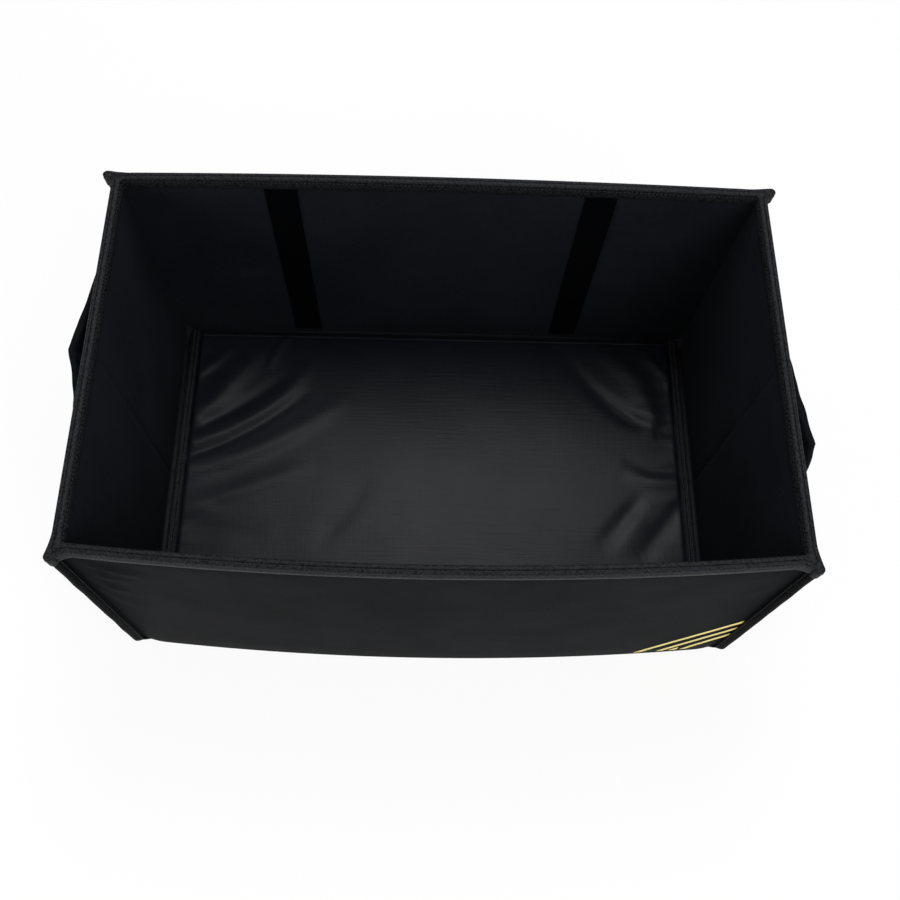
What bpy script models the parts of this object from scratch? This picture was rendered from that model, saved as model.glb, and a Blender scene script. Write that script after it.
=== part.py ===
"""Foldable car boot box: board-stiffened walls in coated fabric, bound seams, a loose floor insert
and two strap handles.

The frame: X runs along the box, from its left wall to its right wall. The printed front wall is at
-Y. Z = 0 is the ground, and the origin is under the middle of the box. Sizes are in metres.
"""

import math

import bmesh
import bpy

# The box as it stands
LENGTH = 0.500
DEPTH = 0.302
HEIGHT = 0.230
FOOT_INSET = 0.012
FRONT_BOW = 0.012
BACK_BOW = 0.004

# Cloth, board and the clearance between two layers that touch
COVER = 0.0008
LINING = 0.0008
BOARD = 0.0024
BINDING = 0.0007
FIT = 0.0003
EDGE_FIT = 0.0015

# Seams between the long panels and the gusset
CORNER_RADIUS = 0.018
GUSSET_RADIUS = 0.007
GUSSET_BLEND = 0.012
GUSSET_BEND_SHARE = 0.4
LINING_BEND_SHARE = 0.45
SEAM_LIP = 0.0045
LIP_COVERED = 0.0008
LIP_FIT = 0.0006
COVER_TURN = 0.0015
LEAST_FOLD = 0.0009
FRONT_ANGLE = math.radians(16)
LOW_FRONT_ANGLE = math.radians(38)
BACK_ANGLE = math.radians(86)
LOW_BACK_ANGLE = math.radians(78)
FOLDED_ANGLE = math.radians(180)
GUSSET_HELD_BELOW = math.radians(45)
GUSSET_HELD_ABOVE = math.radians(135)
STRAIGHT = math.radians(0.1)
HELD_BELOW_RUN_OUT = -0.0018
HELD_ABOVE_RUN_OUT = 0.0005

# Crease down the middle of each side wall and across the bottom
CREASE_DIP = 0.0010
BOARD_SPLIT = 0.005
BOARD_END = 0.0085

# Rim binding
RIM_LEG = 0.0115
RIM_CROWN = 0.0012
RIM_JOINT = 0.0004
INNER_CORNER = 0.003
EAR_FLARE = 0.012
EAR_ROOT = 0.0030
CROWN_SHOULDER = 0.22
CROWN_SHOULDER_RISE = 0.8

# Hook-and-loop tapes inside the long walls
LOOP_TAPE = 0.0010
LOOP_WIDTH = 0.025
LOOP_SPACING = 0.250
LOOP_FOOT = 0.014

# Floor insert
INSERT_SIDE_GAP = 0.0045
INSERT_END_GAP = 0.0028
INSERT_BOARD = 0.0030
SLEEVE = 0.0006
SLEEVE_EDGE = 0.0020
HEM_WIDTH = 0.0075
HEM_LIFT = 0.0006
HEM_RIDGE = 0.0009
HEM_GROOVE = 0.0002
HEM_ROUND = 0.00075
HEM_STITCHES = (0.0060, 0.0024)
HEM_RUN = 0.012
SLEEVE_FADE = 0.010
SLEEVE_SLACK = 0.0014

# Handles
STRAP_END_WIDTH = 0.030
STRAP_GRIP_WIDTH = 0.022
STRAP_END_THICK = 0.0024
STRAP_GRIP_THICK = 0.0050
STRAP_SPAN = 0.214
STRAP_SEWN = 0.022
STRAP_BOW = 0.020
STRAP_BELOW_RIM = 0.001
STRAP_SAG = 0.022
STRAP_NARROWING = 0.050
LEFT_PEAK = 0.018
RIGHT_PEAK = -0.047
LEFT_CURVES = (1.9, 1.0)
RIGHT_CURVES = (0.8, 1.8)
STRAP_LEAN = 0.35

# How finely curves are cut
ARC_STEPS = 6
SIDE_STEPS = 3
BOTTOM_STEPS = 12
FOLD_STEPS = 4
STRAP_STEPS = 24
SLEEVE_STEPS = 25
SLEEVE_ROWS = 15
CURVE_STEPS = 6

# Derived sizes
HALF_LENGTH = LENGTH / 2
HALF_DEPTH = DEPTH / 2
CREASE_HALF = BOARD_SPLIT / 2
LAYER = COVER + LIP_FIT
SEAM_HALF = COVER + LIP_FIT / 2 + LIP_FIT + BINDING
UNDER = FIT + 2 * SEAM_HALF
GUSSET_TURN = (COVER / 2 + FIT + SEAM_HALF - LAYER / 2) / 2
WALL = COVER + FIT + BOARD + FIT + LINING
BOARD_MID = COVER + FIT + BOARD / 2
LINING_MID = WALL - LINING / 2
BOTTOM_LINING_MID = COVER + FIT + LINING / 2
EDGE_TOP = HEIGHT - BINDING - FIT - RIM_CROWN
FLOOR = UNDER + COVER + FIT + LINING

# Strap section, as shares of its half width and half thickness
STRAP_SECTION = (
    (-1.0, -0.4),
    (-0.94, -1.0),
    (0.94, -1.0),
    (1.0, -0.4),
    (1.0, 0.4),
    (0.94, 1.0),
    (-0.94, 1.0),
    (-1.0, 0.4),
)

# Folds of the slack sleeve in the insert's plan: where each starts, bends and ends, how high it
# stands or how deep it dips, and its half width
SLEEVE_FOLDS = (
    ((-0.214, 0.051), (-0.185, 0.089), (-0.155, 0.134), 0.0022, 0.011),
    ((-0.214, 0.025), (-0.132, 0.059), (-0.115, 0.116), 0.0026, 0.006),
    ((-0.216, -0.001), (-0.145, 0.017), (-0.078, 0.077), 0.0022, 0.010),
    ((-0.216, -0.037), (-0.153, -0.013), (-0.104, 0.006), 0.0016, 0.009),
    ((-0.217, 0.096), (-0.202, 0.110), (-0.185, 0.130), 0.0012, 0.005),
    ((-0.141, 0.138), (-0.150, 0.121), (-0.155, 0.102), 0.0014, 0.004),
    ((-0.222, 0.039), (-0.173, 0.061), (-0.134, 0.099), -0.0016, 0.005),
    ((-0.219, 0.012), (-0.168, 0.034), (-0.111, 0.083), -0.0014, 0.005),
    ((-0.217, -0.053), (-0.186, -0.058), (-0.142, -0.057), -0.0009, 0.009),
    ((-0.106, -0.073), (-0.075, -0.042), (-0.057, -0.003), -0.0010, 0.009),
    ((0.218, 0.050), (0.171, 0.044), (0.114, 0.136), -0.0022, 0.006),
    ((0.200, 0.057), (0.193, 0.120), (0.137, 0.138), 0.0020, 0.011),
    ((0.218, 0.010), (0.190, 0.003), (0.170, 0.020), -0.0013, 0.004),
    ((0.221, -0.004), (0.195, -0.006), (0.173, 0.007), 0.0014, 0.007),
    ((0.195, -0.019), (0.173, -0.049), (0.158, -0.079), 0.0018, 0.007),
    ((0.190, -0.013), (0.166, -0.041), (0.141, -0.069), -0.0014, 0.005),
    ((0.220, -0.025), (0.198, -0.051), (0.176, -0.081), -0.0014, 0.006),
    ((0.220, 0.098), (0.210, 0.114), (0.194, 0.132), 0.0012, 0.005),
)


def clear_scene():
    """Removes whatever the startup file holds."""
    for thing in list(bpy.data.objects):
        bpy.data.objects.remove(thing, do_unlink=True)


def make_collection(name):
    group = bpy.data.collections.new(name)
    bpy.context.scene.collection.children.link(group)
    return group


def make_material(name, colour, roughness, metallic=0.0):
    material = bpy.data.materials.new(name)
    material.use_nodes = True
    shader = material.node_tree.nodes["Principled BSDF"]
    shader.inputs["Base Color"].default_value = (*colour, 1.0)
    shader.inputs["Roughness"].default_value = roughness
    shader.inputs["Metallic"].default_value = metallic
    return material


def ease(share):
    """A smooth step from 0 to 1."""
    share = min(max(share, 0.0), 1.0)
    return share * share * (3 - 2 * share)


def mix(first, second, share):
    return first + (second - first) * share


def settle(x, y, z):
    """A point of the square-drawn box, moved to where it is on the box as it stands.

    The short walls lean in towards the foot and the long walls bow out in plan.
    """
    along = x / HALF_LENGTH
    bulge = max(0.0, 1 - along * along)
    front = min(max(0.5 - y / DEPTH, 0.0), 1.0)
    height = min(max(z / HEIGHT, 0.0), 1.0)
    x *= 1 - FOOT_INSET / HALF_LENGTH * (1 - height)
    y += bulge * mix(BACK_BOW, -FRONT_BOW, front)
    return x, y, z


def new_object(name, material, parts):
    mesh = bpy.data.meshes.new(name)
    thing = bpy.data.objects.new(name, mesh)
    mesh.materials.append(material)
    parts.objects.link(thing)
    return thing


def fill_object(thing, bm, smooth_below=40):
    """Writes a bmesh into an object, shaded smooth between its sharp edges."""
    bm.normal_update()
    bmesh.ops.recalc_face_normals(bm, faces=bm.faces)
    bm.to_mesh(thing.data)
    bm.free()
    thing.data.shade_smooth()
    thing.data.set_sharp_from_angle(angle=math.radians(smooth_below))


def thicken(thing, thickness):
    """Gives an open sheet its thickness, half on each side."""
    shell = thing.modifiers.new("thickness", "SOLIDIFY")
    shell.thickness = thickness
    shell.offset = 0.0
    shell.use_even_offset = True
    return shell


def skin_rows(bm, rows, closed_around=False):
    """Quads between rows of equal length. It returns the rows of vertices."""
    grid = [[bm.verts.new(point) for point in row] for row in rows]
    for first, second in zip(grid, grid[1:]):
        count = len(first)
        for i in range(count if closed_around else count - 1):
            j = (i + 1) % count
            bm.faces.new((first[i], first[j], second[j], second[i]))
    return grid


def skin_lips(bm, rows, outward):
    """Triangles between the rows of a piece that follows the seam line.

    Every diagonal runs from the wall at the upper row to the lip's edge at the lower one, so
    twisted layers that lie on each other keep their distance.
    """
    pairs = list(zip(rows, rows[1:]))
    half = len(pairs) // 2
    for first, second in pairs[:half] + [(below, above) for above, below in pairs[half:]]:
        for i in range(len(first) - 1):
            j = i + 1
            if outward(i):
                bm.faces.new((first[i], first[j], second[j]))
                bm.faces.new((first[i], second[j], second[i]))
            else:
                bm.faces.new((first[i], first[j], second[i]))
                bm.faces.new((first[j], second[j], second[i]))


def seamed_sheet(name, rows, thickness, outward, material, parts):
    """A cloth strip along the seams: an open surface through its stations' rows, made solid."""
    thing = new_object(name, material, parts)
    bm = bmesh.new()
    skin_lips(bm, [[bm.verts.new(settle(*point)) for point in row] for row in rows], outward)
    fill_object(thing, bm)
    thicken(thing, thickness)
    return thing


def sheet(name, rows, thickness, material, parts):
    """A piece of cloth or tape: an open surface through rows of points, made solid."""
    thing = new_object(name, material, parts)
    bm = bmesh.new()
    skin_rows(bm, [[settle(*point) for point in row] for row in rows])
    fill_object(thing, bm)
    thicken(thing, thickness)
    return thing


class Station:
    """One place on the U-shaped seam line: a point and its outward direction in the XZ plane.

    It also holds the seam's angle there, at the front (-1) and at the back (1).
    """

    def __init__(self, x, z, nx, nz, folded, angles):
        self.x = x
        self.z = z
        self.nx = nx
        self.nz = nz
        self.folded = folded
        self.angles = angles

    def at(self, out, forward, side):
        """World point that lies out along the normal and forward of the front (-1) or back (1) wall."""
        return self.x + out * self.nx, side * (HALF_DEPTH + forward), self.z + out * self.nz


def seam_angles(front_start, back_start, front_end, back_end, share):
    """The seam's angle at the front and at the back, a share of the way between two pairs."""
    return {-1: mix(front_start, front_end, share), 1: mix(back_start, back_end, share)}


def u_line(radius):
    """Stations down the left wall, round the corner, along the bottom and up the right wall."""
    low = UNDER + radius
    left = []
    for i in range(SIDE_STEPS):
        share = i / SIDE_STEPS
        angles = seam_angles(FRONT_ANGLE, BACK_ANGLE, LOW_FRONT_ANGLE, LOW_BACK_ANGLE, share**2)
        left.append(Station(-HALF_LENGTH, mix(EDGE_TOP, low, share), -1.0, 0.0, 0.0, angles))
    for i in range(ARC_STEPS + 1):
        share = i / ARC_STEPS
        turn = share * math.pi / 2
        nx, nz = -math.cos(turn), -math.sin(turn)
        angles = seam_angles(LOW_FRONT_ANGLE, LOW_BACK_ANGLE, FOLDED_ANGLE, FOLDED_ANGLE, ease(share))
        x = -HALF_LENGTH + radius + radius * nx
        left.append(Station(x, low + radius * nz, nx, nz, ease(share), angles))
    run = HALF_LENGTH - radius
    half_steps = BOTTOM_STEPS // 2
    folded = {-1: FOLDED_ANGLE, 1: FOLDED_ANGLE}
    for i in range(1, half_steps):
        left.append(Station(mix(-run, 0.0, i / half_steps), UNDER, 0.0, -1.0, 1.0, folded))
    middle = Station(0.0, UNDER, 0.0, -1.0, 1.0, folded)
    right = [Station(-s.x, s.z, -s.nx, s.nz, s.folded, s.angles) for s in reversed(left)]
    return left + [middle] + right


class Seam:
    """Section of the bound seam at one station: both covers turn out of their walls into two lips.

    Directions are in the (out, forward) plane, where forward is away from the box's middle. The
    angle is measured from forward towards out. At the rim the front lips stand forward beside the
    short walls and the back ones stand out sideways, and both lie folded back under the bottom.
    """

    def __init__(self, angle):
        self.angle = angle
        self.along = (math.sin(angle), math.cos(angle))
        self.across = (math.cos(angle), -math.sin(angle))
        self.cover_turn = angle - math.pi / 2
        limited = min(max(angle, GUSSET_HELD_BELOW), GUSSET_HELD_ABOVE)
        share = (limited - GUSSET_HELD_BELOW) / (GUSSET_HELD_ABOVE - GUSSET_HELD_BELOW)
        self.cover_start = mix(HELD_BELOW_RUN_OUT, HELD_ABOVE_RUN_OUT, share)
        self.gusset_start = self.meeting_gusset(limited)
        if angle != limited:
            end = self.gusset_end()
            sine, cosine = math.sin(angle), math.cos(angle)
            out, forward = self.cover_point(0.0, self.cover_turn, 1.0)
            self.cover_start = end[0] + (-LAYER + sine * (forward - end[1])) / cosine - out

    def cover_point(self, start, whole, share):
        """Point a share of the way round the cover's fold, which turns by the whole angle."""
        size = max(abs(whole), STRAIGHT)
        radius = max(COVER_TURN, LEAST_FOLD / size)
        side = -1.0 if whole >= 0 else 1.0
        out = start + radius * math.sin(size * share)
        return out, -COVER / 2 + side * radius * (1 - math.cos(size * share))

    def gusset_point(self, turn):
        """Point on the gusset's fold after it has turned by this much."""
        out = -COVER / 2 + GUSSET_TURN * (1 - math.cos(turn))
        return out, self.gusset_start + GUSSET_TURN * math.sin(turn)

    def gusset_end(self):
        return self.gusset_point(self.angle)

    def meeting_gusset(self, angle):
        """Where the gusset starts to fold so that its lip lies on the other cover's lip."""
        end = self.cover_point(self.cover_start, angle - math.pi / 2, 1.0)
        out = -COVER / 2 + GUSSET_TURN * (1 - math.cos(angle))
        forward = end[1] - (LAYER + math.cos(angle) * (end[0] - out)) / math.sin(angle)
        return forward - GUSSET_TURN * math.sin(angle)

    def reach(self, point):
        return point[0] * self.along[0] + point[1] * self.along[1]

    def root(self):
        """How far along the lips both folds have ended."""
        return max(self.reach(self.gusset_end()), self.reach(self.cover_end()))

    def cover_end(self):
        return self.cover_point(self.cover_start, self.cover_turn, 1.0)

    def lip(self, start, length):
        """Points along a straight lip, from the end of its fold to the lips' common edge."""
        reach = self.root() + length - self.reach(start)
        return start[0] + reach * self.along[0], start[1] + reach * self.along[1]

    def centre(self, length, offset=0.0):
        """Point between the two lips, so far past their folds, moved across towards the gusset."""
        end = self.gusset_end()
        base = self.lip(end, length)
        shift = offset - LAYER / 2
        return base[0] + shift * self.across[0], base[1] + shift * self.across[1]


def cover_panel(name, side, material, parts):
    """A long wall's outer panel: flat, with rounded lower corners, its edge turned out into a lip."""
    stations = u_line(CORNER_RADIUS)
    seams = [Seam(station.angles[side]) for station in stations]
    edge = [s.at(seam.cover_start, -COVER / 2, side) for s, seam in zip(stations, seams)]
    thing = new_object(name, material, parts)
    bm = bmesh.new()
    boundary = panel_faces(bm, edge)
    outer = []
    for station, seam in zip(stations, seams):
        points = []
        for step in range(1, FOLD_STEPS + 1):
            points.append(seam.cover_point(seam.cover_start, seam.cover_turn, step / FOLD_STEPS))
        points.append(seam.lip(points[-1], SEAM_LIP))
        outer.append([bm.verts.new(settle(*station.at(*point, side))) for point in points])
    rows = [[start, *points] for start, points in zip(boundary, outer)]
    skin_lips(bm, rows, lambda column: True)
    fill_object(thing, bm)
    thicken(thing, COVER)
    return thing


def panel_faces(bm, edge):
    """Faces of a flat panel inside a U-shaped edge. It returns the edge's vertices in order.

    Above the rounded corners the panel is a grid, and below them each column ends on the edge.
    """
    count = len(edge)
    columns = range(SIDE_STEPS, count - SIDE_STEPS)
    first_x, last_x = edge[columns[0]][0], edge[columns[-1]][0]
    rows = []
    for row in range(SIDE_STEPS + 1):
        left, right = edge[row], edge[count - 1 - row]
        line = []
        for column in columns:
            share = (edge[column][0] - first_x) / (last_x - first_x)
            line.append(bm.verts.new(settle(mix(left[0], right[0], share), left[1], left[2])))
        rows.append(line)
    for first, second in zip(rows, rows[1:]):
        for i in range(len(first) - 1):
            bm.faces.new((first[i], first[i + 1], second[i + 1], second[i]))
    last = rows[-1]
    lowest = [last[0]]
    lowest += [bm.verts.new(settle(*edge[column])) for column in columns[1:-1]]
    lowest.append(last[-1])
    for i in range(len(last) - 1):
        corners = [last[i], last[i + 1], lowest[i + 1], lowest[i]]
        bm.faces.new(list(dict.fromkeys(corners)))
    left_edge = [row[0] for row in rows[:-1]]
    right_edge = [row[-1] for row in reversed(rows[:-1])]
    return left_edge + lowest + right_edge


def flat_panel(name, side, depth_mid, thickness, material, parts):
    """A board or lining with the long wall's outline, inside its cover."""
    inset = COVER + FIT + EDGE_FIT / 2
    edge = [s.at(-inset, -depth_mid, side) for s in u_line(CORNER_RADIUS)]
    thing = new_object(name, material, parts)
    bm = bmesh.new()
    panel_faces(bm, edge)
    fill_object(thing, bm)
    thicken(thing, thickness)
    return thing


def gusset_place(corner, middle, start, out, forward, side):
    """Point of the gusset: on the seam's rounder line at its edge and on its own inside."""
    share = ease((start - forward) / GUSSET_BLEND)
    near = corner.at(out, forward, side)
    far = middle.at(out, forward, side)
    return mix(near[0], far[0], share), near[1], mix(near[2], far[2], share)


def gusset_cover(material, parts):
    """The outer strip of both side walls and the bottom, with its two turned lips and its crease."""
    rows = []
    mid = COVER / 2
    for corner, middle in zip(u_line(CORNER_RADIUS), u_line(GUSSET_RADIUS)):
        half = {}
        for side in (-1, 1):
            seam = Seam(corner.angles[side])
            turns = [seam.angle * step / FOLD_STEPS for step in range(1, FOLD_STEPS + 1)]
            fold = [seam.gusset_point(turn) for turn in turns]
            lip = [seam.lip(fold[-1], SEAM_LIP), *reversed(fold)]
            points = [corner.at(*point, side) for point in lip]
            for share in (0.0, GUSSET_BEND_SHARE, 1.0):
                forward = seam.gusset_start - share * GUSSET_BLEND
                points.append(gusset_place(corner, middle, seam.gusset_start, -mid, forward, side))
            crease = CREASE_HALF - HALF_DEPTH
            points.append(gusset_place(corner, middle, seam.gusset_start, -mid, crease, side))
            half[side] = points
        dip = mix(-CREASE_DIP, CREASE_DIP, corner.folded)
        valley = middle.at(dip - mid, -HALF_DEPTH, 1)
        rows.append([*half[-1], valley, *reversed(half[1])])
    back_half = len(rows[0]) // 2
    return seamed_sheet("gusset_cover", rows, COVER, lambda column: column >= back_half, material, parts)


def gusset_lining(material, parts):
    """The inner strip of both side walls and the bottom."""
    rows = []
    edge = -(WALL + FIT)
    for corner, middle in zip(u_line(CORNER_RADIUS), u_line(GUSSET_RADIUS)):
        out = -mix(LINING_MID, BOTTOM_LINING_MID, corner.folded)
        half = {}
        for side in (-1, 1):
            start = Seam(corner.angles[side]).gusset_start
            points = []
            inner = start - GUSSET_BLEND
            bend = mix(edge, inner, LINING_BEND_SHARE)
            for forward in (edge, bend, inner, CREASE_HALF - HALF_DEPTH):
                points.append(gusset_place(corner, middle, start, out, forward, side))
            half[side] = points
        valley = middle.at(out + CREASE_DIP, -HALF_DEPTH, 1)
        rows.append([*half[-1], valley, *reversed(half[1])])
    return sheet("gusset_lining", rows, LINING, material, parts)


def seam_binding(name, side, material, parts):
    """The tape folded over both lips, from the rim down, under the bottom and up again."""
    rows = []
    offset = SEAM_HALF - BINDING / 2
    for station in u_line(CORNER_RADIUS):
        seam = Seam(station.angles[side])
        section = [seam.centre(LIP_COVERED, -offset)]
        for step in range(FOLD_STEPS + 1):
            turn = math.pi * step / FOLD_STEPS
            reach = SEAM_LIP + offset * math.sin(turn)
            section.append(seam.centre(reach, -offset * math.cos(turn)))
        section.append(seam.centre(LIP_COVERED, offset))
        rows.append([station.at(*point, side) for point in section])
    tip = len(rows[0]) // 2
    return seamed_sheet(name, rows, BINDING, lambda column: column < tip, material, parts)


def side_board(name, side_x, side_y, material, parts):
    """Half of a short wall's stiffener, between the crease and the long wall."""
    low = UNDER + CORNER_RADIUS + EDGE_FIT
    inner = BOARD_SPLIT / 2
    outer = HALF_DEPTH - BOARD_END
    thing = new_object(name, material, parts)
    bm = bmesh.new()
    bmesh.ops.create_cube(bm, size=1.0)
    for vert in bm.verts:
        x = side_x * (HALF_LENGTH - BOARD_MID) + vert.co.x * BOARD
        y = side_y * mix(inner, outer, vert.co.y + 0.5)
        z = mix(low, EDGE_TOP, vert.co.z + 0.5)
        vert.co = settle(x, y, z)
    fill_object(thing, bm)
    return thing


def rim_quarter(end_x, end_y, offset):
    """Plan of the rim's outer leg at one corner, flaring out to go round the seam that stands there."""
    seam = Seam(FRONT_ANGLE if end_y < 0 else BACK_ANGLE)
    reach = SEAM_HALF + FIT + BINDING / 2
    points = [(-EAR_FLARE, offset), seam.centre(EAR_ROOT, -reach)]
    for step in range(FOLD_STEPS + 1):
        turn = math.pi * (step / FOLD_STEPS - 0.5)
        points.append(seam.centre(SEAM_LIP + reach * math.cos(turn), reach * math.sin(turn)))
    points += [seam.centre(EAR_ROOT, reach), (offset, -EAR_FLARE)]
    return [(end_x * (HALF_LENGTH + out), end_y * (HALF_DEPTH + forward)) for out, forward in points]


def rim_plan():
    """Matching points of the rim's outer and inner legs, from the right wall's crease all round."""
    offset = FIT + BINDING / 2
    inset = WALL + FIT + BINDING / 2
    outer, inner = [], []

    def add_run(axis, end, start, stop, steps):
        for step in range(1, steps):
            place = mix(start, stop, step / steps)
            out_edge = end * ((HALF_LENGTH if axis == "y" else HALF_DEPTH) + offset)
            in_edge = end * ((HALF_LENGTH if axis == "y" else HALF_DEPTH) - inset)
            outer.append((out_edge, place) if axis == "y" else (place, out_edge))
            inner.append((in_edge, place) if axis == "y" else (place, in_edge))

    def add_corner(end_x, end_y, reverse):
        points = rim_quarter(end_x, end_y, offset)
        if reverse:
            points.reverse()
        corner_x = HALF_LENGTH - inset
        corner_y = HALF_DEPTH - inset
        count = len(points)
        for i, point in enumerate(points):
            share = i / (count - 1)
            if reverse:
                share = 1 - share
            turn = share * math.pi / 2
            x = corner_x - INNER_CORNER * (1 - math.sin(turn))
            y = corner_y - INNER_CORNER * (1 - math.cos(turn))
            outer.append(point)
            inner.append((end_x * x, end_y * y))

    start_x = HALF_LENGTH
    outer.append((start_x + offset, RIM_JOINT / 2))
    inner.append((start_x - inset, RIM_JOINT / 2))
    reach_y = HALF_DEPTH - INNER_CORNER - inset
    reach_x = HALF_LENGTH - INNER_CORNER - inset
    add_run("y", 1, RIM_JOINT / 2, reach_y, SIDE_STEPS)
    add_corner(1, 1, reverse=True)
    add_run("x", 1, reach_x, -reach_x, BOTTOM_STEPS)
    add_corner(-1, 1, reverse=False)
    add_run("y", -1, reach_y, -reach_y, 2 * SIDE_STEPS)
    add_corner(-1, -1, reverse=True)
    add_run("x", -1, -reach_x, reach_x, BOTTOM_STEPS)
    add_corner(1, -1, reverse=False)
    add_run("y", 1, -reach_y, -RIM_JOINT / 2, SIDE_STEPS)
    outer.append((start_x + offset, -RIM_JOINT / 2))
    inner.append((start_x - inset, -RIM_JOINT / 2))
    return outer, inner


def rim_binding(material, parts):
    """One tape folded over the top edge all round, pinched out over each corner's seam."""
    low = HEIGHT - RIM_LEG
    shoulder = HEIGHT - BINDING / 2 - RIM_CROWN
    crown = HEIGHT - BINDING / 2
    rows = []
    for (outer_x, outer_y), (inner_x, inner_y) in zip(*rim_plan()):
        row = [(outer_x, outer_y, low), (outer_x, outer_y, shoulder)]
        rises = (CROWN_SHOULDER_RISE, 1.0, CROWN_SHOULDER_RISE)
        for share, rise in zip((CROWN_SHOULDER, 0.5, 1 - CROWN_SHOULDER), rises):
            x, y = mix(outer_x, inner_x, share), mix(outer_y, inner_y, share)
            row.append((x, y, mix(shoulder, crown, rise)))
        row += [(inner_x, inner_y, shoulder), (inner_x, inner_y, low)]
        rows.append(row)
    return sheet("rim_binding", rows, BINDING, material, parts)


def loop_tape(name, side_x, side_y, material, parts):
    """A hook-and-loop tape sewn up the inside of a long wall."""
    centre = side_x * LOOP_SPACING / 2
    y = side_y * (HALF_DEPTH - WALL - FIT - LOOP_TAPE / 2)
    top = HEIGHT - RIM_LEG - FIT
    rows = []
    for share in (0.0, 0.5, 1.0):
        x = centre + (share - 0.5) * LOOP_WIDTH
        rows.append([(x, y, mix(LOOP_FOOT, top, step / SIDE_STEPS)) for step in range(SIDE_STEPS + 1)])
    return sheet(name, rows, LOOP_TAPE, material, parts)


def insert_half_length():
    """Half the insert's length, from the width between the side linings at its own height."""
    height = FLOOR + FIT + SLEEVE + INSERT_BOARD
    inside = settle(HALF_LENGTH - WALL, 0.0, height)[0]
    return inside - INSERT_SIDE_GAP


def insert_board(material, parts):
    """The stiff board in the sleeve."""
    half_x = insert_half_length() - HEM_RUN
    half_y = HALF_DEPTH - WALL - INSERT_END_GAP - SLEEVE / 2 - SLEEVE_EDGE - FIT
    low = FLOOR + FIT + SLEEVE + FIT
    thing = new_object("insert_board", material, parts)
    bm = bmesh.new()
    bmesh.ops.create_cube(bm, size=1.0)
    for vert in bm.verts:
        vert.co = (2 * half_x * vert.co.x, 2 * half_y * vert.co.y, low + INSERT_BOARD * (vert.co.z + 0.5))
    fill_object(thing, bm)
    return thing


def fold_lift(x, y, fold):
    """How far one fold lifts the sleeve at this place. It fades out towards its end."""
    (ax, ay), (bx, by), (cx, cy), height, half_width = fold
    nearest, share = math.inf, 0.0
    for step in range(CURVE_STEPS + 1):
        t = step / CURVE_STEPS
        px = mix(mix(ax, bx, t), mix(bx, cx, t), t)
        py = mix(mix(ay, by, t), mix(by, cy, t), t)
        distance = math.hypot(x - px, y - py)
        if distance < nearest:
            nearest, share = distance, t
    return height * math.exp(-((nearest / half_width) ** 2)) * (1 - share**3)


def fold_height(x, y):
    """How far the slack and the folds lift the sleeve off its board at this place."""
    return max(0.0, SLEEVE_SLACK + sum(fold_lift(x, y, fold) for fold in SLEEVE_FOLDS))


def insert_cover(material, parts):
    """The slack sleeve round the board, pressed flat at its two hems."""
    half_x = insert_half_length() - BINDING - 2 * FIT
    half_y = HALF_DEPTH - WALL - INSERT_END_GAP - SLEEVE / 2
    flat_y = half_y - SLEEVE_EDGE
    board_end = insert_half_length() - HEM_RUN
    low = FLOOR + FIT + SLEEVE / 2
    high = low + SLEEVE + 2 * FIT + INSERT_BOARD
    hem = mix(low, high, 0.5) + HEM_LIFT
    gap = (SLEEVE + FIT) / 2
    flat_from = half_x - HEM_WIDTH
    places = [mix(-board_end, board_end, i / SLEEVE_STEPS) for i in range(SLEEVE_STEPS + 1)]
    places = [-half_x, -flat_from, *places, flat_from, half_x]
    rows = []
    for x in places:
        press = ease((abs(x) - board_end) / (flat_from - board_end))
        bottom = mix(low, hem - gap, press)
        top = mix(high, hem + gap, press)
        row = [(x, y, bottom) for y in (-flat_y, 0.0, flat_y)]
        row.append((x, half_y, mix(bottom, top, 0.5)))
        for i in range(SLEEVE_ROWS + 1):
            y = mix(flat_y, -flat_y, i / SLEEVE_ROWS)
            fade = (1 - press) * ease((half_y - abs(y)) / SLEEVE_FADE)
            row.append((x, y, top + fade * fold_height(x, y)))
        row.append((x, -half_y, mix(bottom, top, 0.5)))
        rows.append(row)
    thing = new_object("insert_cover", material, parts)
    bm = bmesh.new()
    skin_rows(bm, rows, closed_around=True)
    fill_object(thing, bm, smooth_below=60)
    thicken(thing, SLEEVE)
    return thing


def insert_hem(name, side_x, material, parts):
    """The tape folded over one end of the sleeve, with a ridge along each of its two stitch rows."""
    half_x = insert_half_length()
    half_y = HALF_DEPTH - WALL - INSERT_END_GAP
    low = FLOOR + FIT + SLEEVE / 2
    high = low + SLEEVE + 2 * FIT + INSERT_BOARD
    hem = mix(low, high, 0.5) + HEM_LIFT
    rise = SLEEVE + FIT / 2 + FIT + BINDING / 2
    inner, outer = HEM_STITCHES
    profile = [(HEM_WIDTH, rise), (inner, rise + HEM_RIDGE), (mix(inner, outer, 0.5), rise + HEM_GROOVE)]
    profile += [(outer, rise + HEM_RIDGE), (HEM_ROUND, rise)]
    profile += [(0.0, rise / 2), (0.0, -rise / 2), (HEM_ROUND, -rise), (HEM_WIDTH, -rise)]
    rows = []
    for step in range(3):
        y = mix(-half_y, half_y, step / 2)
        edge = half_x - BINDING / 2
        rows.append([(side_x * (edge - inward), y, hem + up) for inward, up in profile])
    thing = new_object(name, material, parts)
    bm = bmesh.new()
    skin_rows(bm, rows)
    fill_object(thing, bm)
    thicken(thing, BINDING)
    return thing


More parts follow.
